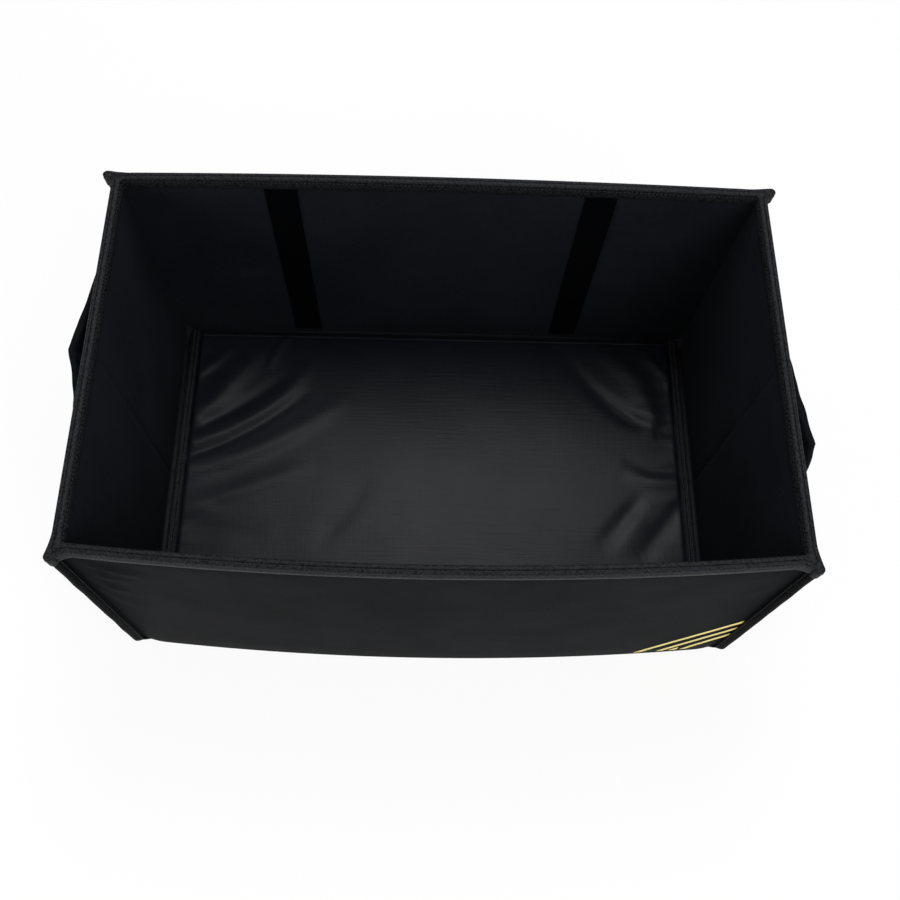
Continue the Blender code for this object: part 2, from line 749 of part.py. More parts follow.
def handle(name, side_x, peak, curves, material, parts):
    """A strap sewn flat to the wall at both ends, folded narrower and thicker where it is gripped.

    It stands out furthest at its peak, and the two curves say how it falls off from there to the
    front and to the back: 1 is straight, more lies closer to the wall and less stays fuller.
    """
    rows = []
    half = STRAP_SPAN / 2
    free = half - STRAP_SEWN
    sewn_middle = HEIGHT - RIM_LEG - STRAP_BELOW_RIM - STRAP_END_WIDTH / 2
    for step in range(STRAP_STEPS + 1):
        y = mix(-half, half, step / STRAP_STEPS)
        if y < peak:
            bow = max((y + free) / (peak + free), 0.0) ** curves[0]
        else:
            bow = max((free - y) / (free - peak), 0.0) ** curves[1]
        grip = ease((free - abs(y)) / STRAP_NARROWING)
        width = mix(STRAP_END_WIDTH, STRAP_GRIP_WIDTH, grip)
        thick = mix(STRAP_END_THICK, STRAP_GRIP_THICK, grip)
        out = HALF_LENGTH + FIT + STRAP_END_THICK / 2 + STRAP_BOW * bow
        middle = sewn_middle - STRAP_SAG * bow
        lean = STRAP_LEAN * bow
        row = []
        for across, through in STRAP_SECTION:
            up = across * width / 2
            depth = through * thick / 2
            row.append((side_x * (out + depth + lean * up), y, middle + up))
        rows.append(row)
    thing = new_object(name, material, parts)
    bm = bmesh.new()
    grid = skin_rows(bm, [[settle(*point) for point in row] for row in rows], closed_around=True)
    bm.faces.new(grid[0])
    bm.faces.new(grid[-1])
    fill_object(thing, bm, smooth_below=50)
    return thing


def centre_in_depth(parts):
    """Moves the box so that the origin is midway between its furthest front and back points."""
    offset = FIT + BINDING / 2
    reach = []
    for end, bow in ((-1, FRONT_BOW), (1, BACK_BOW)):
        ear = max(abs(point[1]) for point in rim_quarter(0, end, offset)) - HALF_DEPTH
        reach.append(max(ear, bow + offset) + BINDING / 2)
    front, back = reach
    for thing in parts.objects:
        thing.location.y = (front - back) / 2


def main():
    clear_scene()
    parts = make_collection("car_storage_box")
    cover = make_material("coated_fabric", (0.012, 0.013, 0.014), 0.45)
    binding = make_material("binding_tape", (0.035, 0.035, 0.037), 0.5)
    lining = make_material("lining_fabric", (0.006, 0.007, 0.010), 0.8)
    board = make_material("grey_board", (0.28, 0.26, 0.23), 0.9)
    satin = make_material("sleeve_satin", (0.014, 0.015, 0.016), 0.4)
    loop = make_material("loop_pile", (0.004, 0.004, 0.005), 0.95)

    for name, side in (("front", -1), ("back", 1)):
        cover_panel(f"{name}_cover", side, cover, parts)
        flat_panel(f"{name}_board", side, BOARD_MID, BOARD, board, parts)
        flat_panel(f"{name}_lining", side, LINING_MID, LINING, lining, parts)
        seam_binding(f"{name}_seam_binding", side, binding, parts)
        for hand, side_x in (("left", -1), ("right", 1)):
            loop_tape(f"{name}_{hand}_loop_tape", side_x, side, loop, parts)
    gusset_cover(cover, parts)
    gusset_lining(lining, parts)
    rim_binding(binding, parts)
    hands = (("left", -1, LEFT_PEAK, LEFT_CURVES), ("right", 1, RIGHT_PEAK, RIGHT_CURVES))
    for hand, side_x, peak, curves in hands:
        side_board(f"{hand}_front_board", side_x, -1, board, parts)
        side_board(f"{hand}_rear_board", side_x, 1, board, parts)
        insert_hem(f"insert_{hand}_hem", side_x, binding, parts)
        handle(f"{hand}_handle", side_x, peak, curves, cover, parts)
    insert_board(board, parts)
    insert_cover(satin, parts)
    centre_in_depth(parts)


main()
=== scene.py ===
"""Dresses the foldable car boot box: cloth, tape, thread, print, the floor insert and the handles.

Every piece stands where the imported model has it. X runs along the box, the printed front wall is at
-Y, Z = 0 is the ground, and sizes are in metres.
"""

import logging
import math
from dataclasses import dataclass, field
from enum import Enum
from typing import Iterable, Sequence

import bmesh
import bpy
import numpy as np
from mathutils import Matrix, Vector, noise


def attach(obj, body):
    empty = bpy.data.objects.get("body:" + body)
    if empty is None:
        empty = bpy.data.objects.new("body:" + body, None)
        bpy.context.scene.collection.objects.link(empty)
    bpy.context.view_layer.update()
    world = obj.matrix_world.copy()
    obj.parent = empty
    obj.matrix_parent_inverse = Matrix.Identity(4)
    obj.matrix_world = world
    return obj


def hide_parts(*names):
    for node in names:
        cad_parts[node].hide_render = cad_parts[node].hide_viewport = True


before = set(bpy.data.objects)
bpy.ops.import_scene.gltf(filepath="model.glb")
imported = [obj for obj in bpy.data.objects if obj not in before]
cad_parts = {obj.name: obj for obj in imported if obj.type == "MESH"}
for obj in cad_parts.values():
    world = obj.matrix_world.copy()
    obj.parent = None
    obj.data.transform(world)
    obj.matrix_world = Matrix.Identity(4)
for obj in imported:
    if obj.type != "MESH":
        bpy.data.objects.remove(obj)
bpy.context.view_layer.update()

LOG = logging.getLogger("boot_box")

WELD = 0.00001
CLOTH_SMOOTH = math.radians(50)
THREAD_SMOOTH = math.radians(70)
WAVE_UNIT = 10

Point = tuple[float, float, float]
Flat = tuple[float, float]
Row = list[Point]
Thread = list[tuple[Vector, Vector]]
Socket = bpy.types.NodeSocket


class Wall(Enum):
    """The two long walls, by the side of the box they are on."""

    FRONT = -1
    BACK = 1


class Hand(Enum):
    """The two short walls, seen from the front."""

    LEFT = -1
    RIGHT = 1


def mix(first: float, second: float, share: float) -> float:
    """Value a share of the way from the first to the second."""
    return first + (second - first) * share


def ease(share: float) -> float:
    """Smooth step from 0 to 1."""
    share = min(max(share, 0.0), 1.0)
    return share * share * (3 - 2 * share)


def bump_at(place: float, centre: float, half_width: float) -> float:
    """A smooth hump of height 1 round a centre."""
    return math.exp(-(((place - centre) / half_width) ** 2))


def ripple(point: Point, length: float, seed: float) -> float:
    """Smooth noise.

    Args:
        point: Place on the cloth.
        length: Distance over which the noise changes.
        seed: Moves the pattern, so that two pieces differ.

    Returns:
        A value from about -1 to 1.
    """
    x, y, z = point
    return noise.noise(Vector((x / length + seed, y / length - seed, z / length + 2 * seed)))


def hills(point: Point, length: float, seed: float) -> float:
    """The same noise, from about 0 to 1."""
    return 0.5 + 0.5 * ripple(point, length, seed)


@dataclass(frozen=True)
class BoxForm:
    """The box's driving sizes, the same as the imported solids', and what follows from them."""

    length: float = 0.500
    depth: float = 0.302
    height: float = 0.230
    foot_inset: float = 0.012
    front_bow: float = 0.012
    back_bow: float = 0.004
    cover: float = 0.0008
    lining: float = 0.0008
    board: float = 0.0024
    binding: float = 0.0007
    fit: float = 0.0003
    lip_fit: float = 0.0006
    corner_radius: float = 0.018
    gusset_radius: float = 0.007
    gusset_blend: float = 0.012
    seam_lip: float = 0.0045
    lip_covered: float = 0.0008
    rim_leg: float = 0.0115
    rim_crown: float = 0.0012
    crease_half: float = 0.0025
    crease_dip: float = 0.0010
    depth_shift: float = 0.0040

    @property
    def half_length(self) -> float:
        """Half the outside length at the rim."""
        return self.length / 2

    @property
    def half_depth(self) -> float:
        """Half the outside depth at the corners."""
        return self.depth / 2

    @property
    def layer(self) -> float:
        """Distance between the middles of two lips that lie on each other."""
        return self.cover + self.lip_fit

    @property
    def seam_half(self) -> float:
        """Half the thickness of a bound seam."""
        return self.cover + self.lip_fit / 2 + self.lip_fit + self.binding

    @property
    def under(self) -> float:
        """Height of the bottom cloth over the ground."""
        return self.fit + 2 * self.seam_half

    @property
    def wall(self) -> float:
        """Thickness of a wall with its board."""
        return self.cover + self.fit + self.board + self.fit + self.lining

    @property
    def edge_top(self) -> float:
        """Where the walls' layers end, inside the rim binding."""
        return self.height - self.binding - self.fit - self.rim_crown

    @property
    def floor(self) -> float:
        """Height of the bottom lining's upper face."""
        return self.under + self.cover + self.fit + self.lining

    def settle(self, point: Point) -> Point:
        """Moves a point of the square-drawn box to its place on the standing one.

        Args:
            point: Place before the walls lean and bow.

        Returns:
            The place afterwards.
        """
        x, y, z = point
        along = x / self.half_length
        bulge = max(0.0, 1 - along * along)
        front = min(max(0.5 - y / self.depth, 0.0), 1.0)
        height = min(max(z / self.height, 0.0), 1.0)
        x *= 1 - self.foot_inset / self.half_length * (1 - height)
        y += bulge * mix(self.back_bow, -self.front_bow, front)
        return x, y + self.depth_shift, z

    def settle_rows(self, rows: Iterable[Row]) -> list[Row]:
        """Every point of the rows, moved to its place on the standing box."""
        return [[self.settle(point) for point in row] for row in rows]


FORM = BoxForm()


@dataclass(frozen=True)
class Station:
    """One place on the U-shaped seam line, with its outward direction in the XZ plane.

    It also holds the seam's angle there, at the front and at the back.
    """

    x: float
    z: float
    nx: float
    nz: float
    folded: float
    angles: Flat

    def at(self, out: float, forward: float, side: int) -> Point:
        """World point that lies out along the normal and forward of a long wall.

        Args:
            out: Distance along the outward normal.
            forward: Distance past the long wall's outer face.
            side: -1 for the front wall, 1 for the back one.

        Returns:
            The point, before it is settled.
        """
        return self.x + out * self.nx, side * (FORM.half_depth + forward), self.z + out * self.nz

    def mirrored(self) -> "Station":
        """The same place on the right-hand side."""
        return Station(-self.x, self.z, -self.nx, self.nz, self.folded, self.angles)

    def seam(self, side: int) -> "Seam":
        """The bound seam's section here, on one long wall."""
        return Seam(self.angles[side > 0])


@dataclass(frozen=True)
class SeamLine:
    """How finely the seam line is cut, and how the seam turns along it, at the front and at the back."""

    side_steps: int = 30
    arc_steps: int = 10
    bottom_steps: int = 80
    top: Flat = (math.radians(16), math.radians(86))
    low: Flat = (math.radians(38), math.radians(78))
    folded: Flat = (math.radians(180), math.radians(180))

    def between(self, first: Flat, second: Flat, share: float) -> Flat:
        """Both angles, a share of the way between two pairs."""
        return mix(first[0], second[0], share), mix(first[1], second[1], share)

    def stations(self, radius: float) -> list[Station]:
        """Down the left wall, round the corner, along the bottom and up the right wall.

        Args:
            radius: Of the lower corners.

        Returns:
            The stations in order.
        """
        half = FORM.half_length
        low = FORM.under + radius
        left = []
        for i in range(self.side_steps):
            share = i / self.side_steps
            angles = self.between(self.top, self.low, share**2)
            left.append(Station(-half, mix(FORM.edge_top, low, share), -1.0, 0.0, 0.0, angles))
        for i in range(self.arc_steps + 1):
            share = i / self.arc_steps
            turn = share * math.pi / 2
            nx, nz = -math.cos(turn), -math.sin(turn)
            angles = self.between(self.low, self.folded, ease(share))
            x = radius - half + radius * nx
            left.append(Station(x, low + radius * nz, nx, nz, ease(share), angles))
        half_steps = self.bottom_steps // 2
        for i in range(1, half_steps + 1):
            x = mix(radius - half, 0.0, i / half_steps)
            left.append(Station(x, FORM.under, 0.0, -1.0, 1.0, self.folded))
        return left + [station.mirrored() for station in reversed(left[:-1])]


LINE = SeamLine()


class Seam:
    """Section of the bound seam at one station, in the (out, forward) plane.

    Both covers turn out of their walls into two lips. The angle is measured from forward towards
    out, and the lips lie folded back flat under the bottom.
    """

    turn_radius = 0.0015
    least_fold = 0.0009
    straight = math.radians(0.1)
    held: Flat = (math.radians(45), math.radians(135))
    run_outs: Flat = (-0.0018, 0.0005)

    def __init__(self, angle: float) -> None:
        """Works out where both covers start to fold.

        Args:
            angle: Of both lips, from forward towards out.
        """
        sine, cosine = math.sin(angle), math.cos(angle)
        self.angle = angle
        self.along = (sine, cosine)
        self.across = (cosine, -sine)
        self.cover_turn = angle - math.pi / 2
        self.gusset_radius = (FORM.cover / 2 + FORM.fit + FORM.seam_half - FORM.layer / 2) / 2
        limited = min(max(angle, self.held[0]), self.held[1])
        share = (limited - self.held[0]) / (self.held[1] - self.held[0])
        self.cover_start = mix(*self.run_outs, share)
        self.gusset_start = self.meeting(limited)
        if angle != limited:
            end = self.gusset_point(angle)
            out, forward = self.fold(0.0, self.cover_turn, 1.0)
            self.cover_start = end[0] + (-FORM.layer + sine * (forward - end[1])) / cosine - out
        cover_end = self.fold(self.cover_start, self.cover_turn, 1.0)
        self.root = max(self.reach(self.gusset_point(angle)), self.reach(cover_end))

    def fold(self, start: float, whole: float, share: float) -> Flat:
        """Point on the cover's fold.

        Args:
            start: Where the fold starts, along out.
            whole: Angle by which it turns.
            share: How far round it the point is, from 0 to 1.

        Returns:
            The point.
        """
        size = max(abs(whole), self.straight)
        radius = max(self.turn_radius, self.least_fold / size)
        side = -1.0 if whole >= 0 else 1.0
        out = start + radius * math.sin(size * share)
        return out, -FORM.cover / 2 + side * radius * (1 - math.cos(size * share))

    def meeting(self, angle: float) -> float:
        """Where the gusset starts to fold, so that its lip lies on the cover's at this angle.

        Args:
            angle: Of both lips.

        Returns:
            The start of the fold, along forward.
        """
        end = self.fold(self.cover_start, angle - math.pi / 2, 1.0)
        out = -FORM.cover / 2 + self.gusset_radius * (1 - math.cos(angle))
        forward = end[1] - (FORM.layer + math.cos(angle) * (end[0] - out)) / math.sin(angle)
        return forward - self.gusset_radius * math.sin(angle)

    def gusset_point(self, turn: float) -> Flat:
        """Point on the gusset's fold after it has turned by this much."""
        out = -FORM.cover / 2 + self.gusset_radius * (1 - math.cos(turn))
        return out, self.gusset_start + self.gusset_radius * math.sin(turn)

    def reach(self, point: Flat) -> float:
        """How far along the lips a point lies."""
        return point[0] * self.along[0] + point[1] * self.along[1]

    def lip(self, start: Flat, length: float) -> Flat:
        """Point on a straight lip, this far past the end of both folds."""
        reach = self.root + length - self.reach(start)
        return start[0] + reach * self.along[0], start[1] + reach * self.along[1]

    def centre(self, length: float, offset: float = 0.0) -> Flat:
        """Point between the two lips, moved across towards the gusset's side by the offset.

        Args:
            length: How far out along the lips.
            offset: How far across.

        Returns:
            The point.
        """
        base = self.lip(self.gusset_point(self.angle), length)
        shift = offset - FORM.layer / 2
        return base[0] + shift * self.across[0], base[1] + shift * self.across[1]


def deselect_all() -> None:
    """Leaves nothing selected, so that an operator acts only on what is picked next."""
    if bpy.context.object and bpy.context.object.mode != "OBJECT":
        bpy.ops.object.mode_set(mode="OBJECT")
    bpy.ops.object.select_all(action="DESELECT")


def pick(thing: bpy.types.Object) -> None:
    """Makes one object the selected and active one.

    Args:
        thing: The object.
    """
    deselect_all()
    thing.select_set(True)
    bpy.context.view_layer.objects.active = thing


def finish_modifiers(thing: bpy.types.Object) -> None:
    """Applies every modifier of an object in order.

    Args:
        thing: The object, which ends up selected.
    """
    pick(thing)
    for modifier in list(thing.modifiers):
        bpy.ops.object.modifier_apply(modifier=modifier.name)


def shade_smooth(thing: bpy.types.Object, angle: float) -> None:
    """Shades an object smooth over every edge that turns less than the angle."""
    pick(thing)
    bpy.ops.object.shade_smooth_by_angle(angle=angle)


def object_from(name: str, bm: bmesh.types.BMesh) -> bpy.types.Object:
    """Turns a bmesh into a named object at the origin.

    Args:
        name: The object's name.
        bm: Its faces; it is freed.

    Returns:
        The object.
    """
    bm.normal_update()
    bmesh.ops.recalc_face_normals(bm, faces=bm.faces)
    mesh = bpy.data.meshes.new(name)
    bm.to_mesh(mesh)
    bm.free()
    thing = bpy.data.objects.new(name, mesh)
    bpy.context.scene.collection.objects.link(thing)
    return thing


def skin(bm: bmesh.types.BMesh, rows: Sequence[Row], around: bool = False) -> list[list]:
    """Lays quads between rows of equal length.

    Args:
        bm: Where the faces go.
        rows: Points, row by row.
        around: Whether each row is a closed ring.

    Returns:
        The rows of vertices.
    """
    grid = [[bm.verts.new(point) for point in row] for row in rows]
    for first, second in zip(grid, grid[1:]):
        count = len(first)
        for i in range(count if around else count - 1):
            j = (i + 1) % count
            bm.faces.new((first[i], first[j], second[j], second[i]))
    return grid


def tube(bm: bmesh.types.BMesh, rings: Sequence[Row]) -> None:
    """Lays quads between closed rings, and a face over each end.

    Args:
        bm: Where the faces go.
        rings: Points of each ring, in order.
    """
    grid = skin(bm, rings, around=True)
    bm.faces.new(grid[0])
    bm.faces.new(grid[-1])


def thicken(thing: bpy.types.Object, thickness: float, even: bool = True) -> None:
    """Gives an open surface its thickness.

    Args:
        thing: The surface, which ends up in the thickness's middle.
        thickness: Of the cloth.
        even: Whether the thickness is kept even at sharp bends.
    """
    shell = thing.modifiers.new("thickness", "SOLIDIFY")
    shell.thickness = thickness
    shell.offset = 0.0
    shell.use_even_offset = even
    finish_modifiers(thing)


def cloth(
    name: str, rows: Sequence[Row], thickness: float, around: bool = False, even: bool = True
) -> bpy.types.Object:
    """A piece of cloth: a surface through rows of points, given its thickness.

    Args:
        name: The piece's name.
        rows: Points of its middle surface.
        thickness: Of the cloth.
        around: Whether the rows are closed rings.
        even: Whether the thickness is kept even at sharp bends.

    Returns:
        The finished object.
    """
    bm = bmesh.new()
    skin(bm, rows, around)
    thing = object_from(name, bm)
    thicken(thing, thickness, even)
    shade_smooth(thing, CLOTH_SMOOTH)
    return thing


@dataclass(frozen=True)
class Stitching:
    """Rows of lockstitch: short rounded strands end to end, each sinking at both ends."""

    pitch: float = 0.0032
    gap: float = 0.0008
    radius: float = 0.00030
    sides: int = 5
    stops: int = 4
    arch: float = 0.95
    sunk: float = 0.35
    thin_end: float = 0.55

    def along(self, rows: Sequence[Row], column: int, thickness: float, face: int) -> Thread:
        """A line of places for thread on one face of a cloth.

        Args:
            rows: The cloth's middle surface.
            column: Which point of each row the line follows.
            thickness: Of the cloth.
            face: 1 or -1, which of its faces.

        Returns:
            Places on the face, each with its outward direction.
        """
        line = []
        count = len(rows[0])
        for i, row in enumerate(rows):
            before = Vector(rows[max(i - 1, 0)][column])
            after = Vector(rows[min(i + 1, len(rows) - 1)][column])
            left = Vector(row[max(column - 1, 0)])
            right = Vector(row[min(column + 1, count - 1)])
            out = (after - before).cross(right - left).normalized() * face
            line.append((Vector(row[column]) + out * thickness / 2, out))
        return line

    def sew(self, bm: bmesh.types.BMesh, line: Thread) -> None:
        """Adds the strands along a line of places.

        Args:
            bm: Where the strands go.
            line: The places, each with its outward direction.
        """
        lengths = [0.0]
        for (here, _), (there, _) in zip(line, line[1:]):
            lengths.append(lengths[-1] + (there - here).length)
        index = 0

        def at(distance: float) -> tuple[Vector, Vector]:
            """Place and outward direction this far along the line, asked for in order.

            Args:
                distance: Along the line, never less than before.

            Returns:
                The place and its direction.
            """
            nonlocal index
            while index < len(line) - 2 and lengths[index + 1] < distance:
                index += 1
            share = (distance - lengths[index]) / max(lengths[index + 1] - lengths[index], 1e-9)
            here, there = line[index], line[index + 1]
            return here[0].lerp(there[0], share), here[1].lerp(there[1], share).normalized()

        start = 0.0
        while start + self.pitch < lengths[-1]:
            run = self.pitch - self.gap
            self.strand(bm, [at(start + run * k / self.stops) for k in range(self.stops + 1)])
            start += self.pitch

    def strand(self, bm: bmesh.types.BMesh, stops: Thread) -> None:
        """One strand over a few places, arched and closed at both ends.

        Args:
            bm: Where the strand goes.
            stops: The places, with their outward directions.
        """
        run = (stops[-1][0] - stops[0][0]).normalized()
        rows = []
        for k, (place, out) in enumerate(stops):
            arch = math.sin(math.pi * k / (len(stops) - 1))
            middle = place + out * self.radius * (self.arch * arch - self.sunk)
            size = self.radius * mix(self.thin_end, 1.0, arch)
            across = run.cross(out).normalized()
            ring = []
            for side in range(self.sides):
                turn = 2 * math.pi * side / self.sides
                ring.append(tuple(middle + size * (math.cos(turn) * across + math.sin(turn) * out)))
            rows.append(ring)
        tube(bm, rows)

    def piece(self, name: str, lines: Iterable[Thread], finish: "Finish") -> bpy.types.Object:
        """All the thread of some rows, as one piece that rides on the box.

        Args:
            name: The piece's name.
            lines: The rows' places.
            finish: The thread's material.

        Returns:
            The finished object.
        """
        bm = bmesh.new()
        for line in lines:
            self.sew(bm, line)
        thing = object_from(name, bm)
        shade_smooth(thing, THREAD_SMOOTH)
        finish.dress(thing)
        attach(thing, "root")
        LOG.info("%s: %d faces", name, len(thing.data.polygons))
        return thing


STITCHING = Stitching()


class Finish:
    """Builds one material from noise, waves and a Principled shader."""

    def __init__(self, name: str) -> None:
        """Starts an empty material with one shader.

        Args:
            name: The material's name.
        """
        self.material = bpy.data.materials.new(name)
        self.material.use_nodes = True
        self.tree = self.material.node_tree
        self.shader = self.tree.nodes["Principled BSDF"]
        self.coordinates = self.tree.nodes.new("ShaderNodeTexCoord").outputs["Object"]

    def setting(self, **values: float | tuple) -> "Finish":
        """Sets constants on the shader's own sockets, by their names with underscores.

        Args:
            values: One value for each socket.

        Returns:
            This finish.
        """
        for key, value in values.items():
            self.shader.inputs[key.replace("_", " ")].default_value = value
        return self

    def node(self, kind: str, inputs: dict) -> bpy.types.Node:
        """Adds a node.

        Args:
            kind: The end of its type's name.
            inputs: For each input, another node's output or a constant.

        Returns:
            The node.
        """
        node = self.tree.nodes.new(f"ShaderNode{kind}")
        for key, value in inputs.items():
            if isinstance(value, bpy.types.NodeSocket):
                self.tree.links.new(value, node.inputs[key])
            else:
                node.inputs[key].default_value = value
        return node

    def place(self, scale: Point = (1.0, 1.0, 1.0)) -> Socket:
        """Object coordinates, stretched."""
        return self.node("Mapping", {"Scale": scale, "Vector": self.coordinates}).outputs["Vector"]

    def noise(self, scale: float, stretch: Point = (1.0, 1.0, 1.0), detail: float = 3.0) -> Socket:
        """A grey noise pattern, this many cells to the metre."""
        inputs = {"Scale": scale, "Detail": detail, "Vector": self.place(stretch)}
        return self.node("TexNoise", inputs).outputs["Fac"]

    def cells(self, scale: float) -> Socket:
        """Distance to the nearest of scattered points, for a pebbled face."""
        return self.node("TexVoronoi", {"Scale": scale, "Vector": self.place()}).outputs["Distance"]

    def bands(self, direction: str, pitch: float) -> Socket:
        """Sine bands across one axis, one to each pitch.

        Args:
            direction: The axis, X, Y or Z.
            pitch: Width of one band.

        Returns:
            The pattern.
        """
        inputs = {"Scale": math.pi / (WAVE_UNIT * pitch), "Vector": self.place()}
        node = self.node("TexWave", inputs)
        node.wave_type = "BANDS"
        node.bands_direction = direction
        return node.outputs["Fac"]

    def blend(self, first: Socket, second: Socket | float, how: str = "MULTIPLY") -> Socket:
        """Combines a grey pattern with another one or with a number.

        Args:
            first: A pattern.
            second: Another one, or a number.
            how: The operation.

        Returns:
            The new pattern.
        """
        node = self.node("Math", {0: first, 1: second})
        node.operation = how
        return node.outputs["Value"]

    def colour(self, grey: Socket, shades: tuple[Point, Point], places: Flat = (0.3, 0.7)) -> "Finish":
        """Colours the surface by a grey pattern.

        Args:
            grey: The pattern.
            shades: Two colours.
            places: The greys at which they stand alone.

        Returns:
            This finish.
        """
        node = self.node("ValToRGB", {"Fac": grey})
        for element, place, shade in zip(node.color_ramp.elements, places, shades):
            element.position = place
            element.color = (*shade, 1.0)
        self.tree.links.new(node.outputs["Color"], self.shader.inputs["Base Color"])
        return self

    def roughness(self, grey: Socket, low: float, high: float) -> "Finish":
        """Varies the roughness between two values by a grey pattern.

        Args:
            grey: The pattern.
            low: Where it is 0.
            high: Where it is 1.

        Returns:
            This finish.
        """
        node = self.node("MapRange", {"To Min": low, "To Max": high, "Value": grey})
        self.tree.links.new(node.outputs["Result"], self.shader.inputs["Roughness"])
        return self

    def relief(self, *layers: tuple[Socket, float]) -> "Finish":
        """Bump from one or more (pattern, height in metres) layers.

        Args:
            layers: The patterns with their heights.

        Returns:
            This finish.
        """
        under: dict[str, Socket] = {}
        for grey, height in layers:
            node = self.node("Bump", {"Strength": 1.0, "Distance": height, "Height": grey, **under})
            under = {"Normal": node.outputs["Normal"]}
        self.tree.links.new(under["Normal"], self.shader.inputs["Normal"])
        return self

    def dress(self, thing: bpy.types.Object, slot: str | None = None) -> bpy.types.Object:
        """Puts the material on an object.

        Args:
            thing: The object.
            slot: Not used.

        Returns:
            The object.
        """
        thing.data.materials.clear()
        thing.data.materials.append(self.material)
        return thing


@dataclass(frozen=True)
class CoatedCloth:
    """Black coated oxford of the covers and straps: satin, with a faint plain weave."""

    dark: Point = (0.0050, 0.0055, 0.0064)
    light: Point = (0.0080, 0.0087, 0.0100)
    shine: float = 0.006
    rough: Flat = (0.42, 0.52)

    def make(self) -> Finish:
        """Builds the finish.

        Returns:
            The finish.
        """
        finish = Finish("coated_cloth").setting(Specular_IOR_Level=self.shine)
        weave = finish.blend(finish.bands("X", 0.0010), finish.bands("Z", 0.0010), "ADD")
        cloud = finish.blend(finish.noise(16.0, detail=4.0), finish.blend(finish.noise(420.0), 0.6), "ADD")
        finish.colour(cloud, (self.dark, self.light), (0.6, 1.0))
        finish.roughness(finish.noise(40.0), *self.rough)
        return finish.relief((weave, 0.00005), (finish.noise(240.0), 0.00014))


@dataclass(frozen=True)
class BindingTape:
    """Woven edge tape: short pebbles in rows, a little paler than the cloth."""

    dark: Point = (0.0050, 0.0053, 0.0060)
    light: Point = (0.0190, 0.0199, 0.0224)
    name: str = "binding_tape"
    shine: float = 0.07
    rough: Flat = (0.38, 0.52)

    def make(self) -> Finish:
        """Builds the finish.

        Returns:
            The finish.
        """
        finish = Finish(self.name).setting(Specular_IOR_Level=self.shine)
        pebble = finish.cells(640.0)
        finish.colour(pebble, (self.light, self.dark), (0.1, 0.85))
        finish.roughness(finish.noise(60.0), *self.rough)
        return finish.relief((finish.noise(380.0), 0.00022), (finish.blend(pebble, -1.0), 0.00030))


# The seams' tape is the same weave with less shine; its colours are painted darker, as painted shade for the
# box's own shade that it lies in.
SHADE_PAINTED_SEAM_TAPE = BindingTape((0.0014, 0.0016, 0.0019), (0.0062, 0.0066, 0.0076), "seam_tape", 0.012)


@dataclass(frozen=True)
class LiningCloth:
    """Blue-black lining with a fine woven face."""

    dark: Point = (0.0050, 0.0059, 0.0086)
    light: Point = (0.0086, 0.0098, 0.0134)
    shine: float = 0.16
    rough: Flat = (0.60, 0.75)

    def make(self) -> Finish:
        """Builds the finish.

        Returns:
            The finish.
        """
        finish = Finish("lining_cloth").setting(Specular_IOR_Level=self.shine)
        grain = finish.noise(900.0, (1.0, 1.0, 0.6))
        cloud = finish.blend(finish.noise(13.0, detail=5.0), finish.blend(finish.noise(260.0), 0.5), "ADD")
        finish.colour(cloud, (self.dark, self.light), (0.55, 0.95))
        finish.roughness(finish.noise(30.0), *self.rough)
        return finish.relief((grain, 0.00012), (finish.noise(130.0), 0.00012))


@dataclass(frozen=True)
class SleeveCloth:
    """Satin of the floor insert's sleeve, with fine threads along the box."""

    dark: Point = (0.0054, 0.0061, 0.0088)
    light: Point = (0.0084, 0.0094, 0.0128)
    shine: float = 0.115
    rough: Flat = (0.36, 0.44)

    def make(self) -> Finish:
        """Builds the finish.

        Returns:
            The finish.
        """
        finish = Finish("sleeve_cloth").setting(Specular_IOR_Level=self.shine)
        thread = finish.noise(620.0, (0.06, 1.0, 1.0), detail=2.0)
        cross = finish.noise(620.0, (1.0, 0.08, 1.0), detail=2.0)
        cloud = finish.blend(finish.noise(12.0, detail=5.0), finish.blend(thread, 0.4), "ADD")
        finish.colour(cloud, (self.dark, self.light), (0.5, 0.9))
        finish.roughness(finish.noise(25.0), *self.rough)
        return finish.relief((thread, 0.00014), (cross, 0.00007))


@dataclass(frozen=True)
class LoopPile:
    """Soft pile of the hook-and-loop tapes."""

    dark: Point = (0.0008, 0.0009, 0.0013)
    light: Point = (0.0019, 0.0021, 0.0029)

    def make(self) -> Finish:
        """Builds the finish.

        Returns:
            The finish.
        """
        finish = Finish("loop_pile").setting(Specular_IOR_Level=0.02, Roughness=0.95)
        fuzz = finish.noise(1100.0, detail=4.0)
        return finish.colour(fuzz, (self.dark, self.light)).relief((fuzz, 0.0004))


@dataclass(frozen=True)
class GoldPrint:
    """Flat pale-gold transfer print."""

    dark: Point = (0.86, 0.72, 0.25)
    light: Point = (0.95, 0.82, 0.32)
    shine: float = 0.05
    rough: Flat = (0.45, 0.55)

    def make(self) -> Finish:
        """Builds the finish.

        Returns:
            The finish.
        """
        finish = Finish("gold_print").setting(Specular_IOR_Level=self.shine)
        cloud = finish.noise(60.0)
        finish.colour(cloud, (self.dark, self.light)).roughness(cloud, *self.rough)
        return finish.relief((finish.noise(600.0), 0.00004))


@dataclass(frozen=True)
class SewingThread:
    """Black spun thread, paler than the tape it lies in."""

    dark: Point = (0.007, 0.0073, 0.0082)
    light: Point = (0.019, 0.0196, 0.0215)

    def make(self) -> Finish:
        """Builds the finish.

        Returns:
            The finish.
        """
        finish = Finish("sewing_thread").setting(Roughness=0.5, Specular_IOR_Level=0.3)
        twist = finish.noise(2600.0)
        return finish.colour(twist, (self.dark, self.light)).relief((twist, 0.00008))


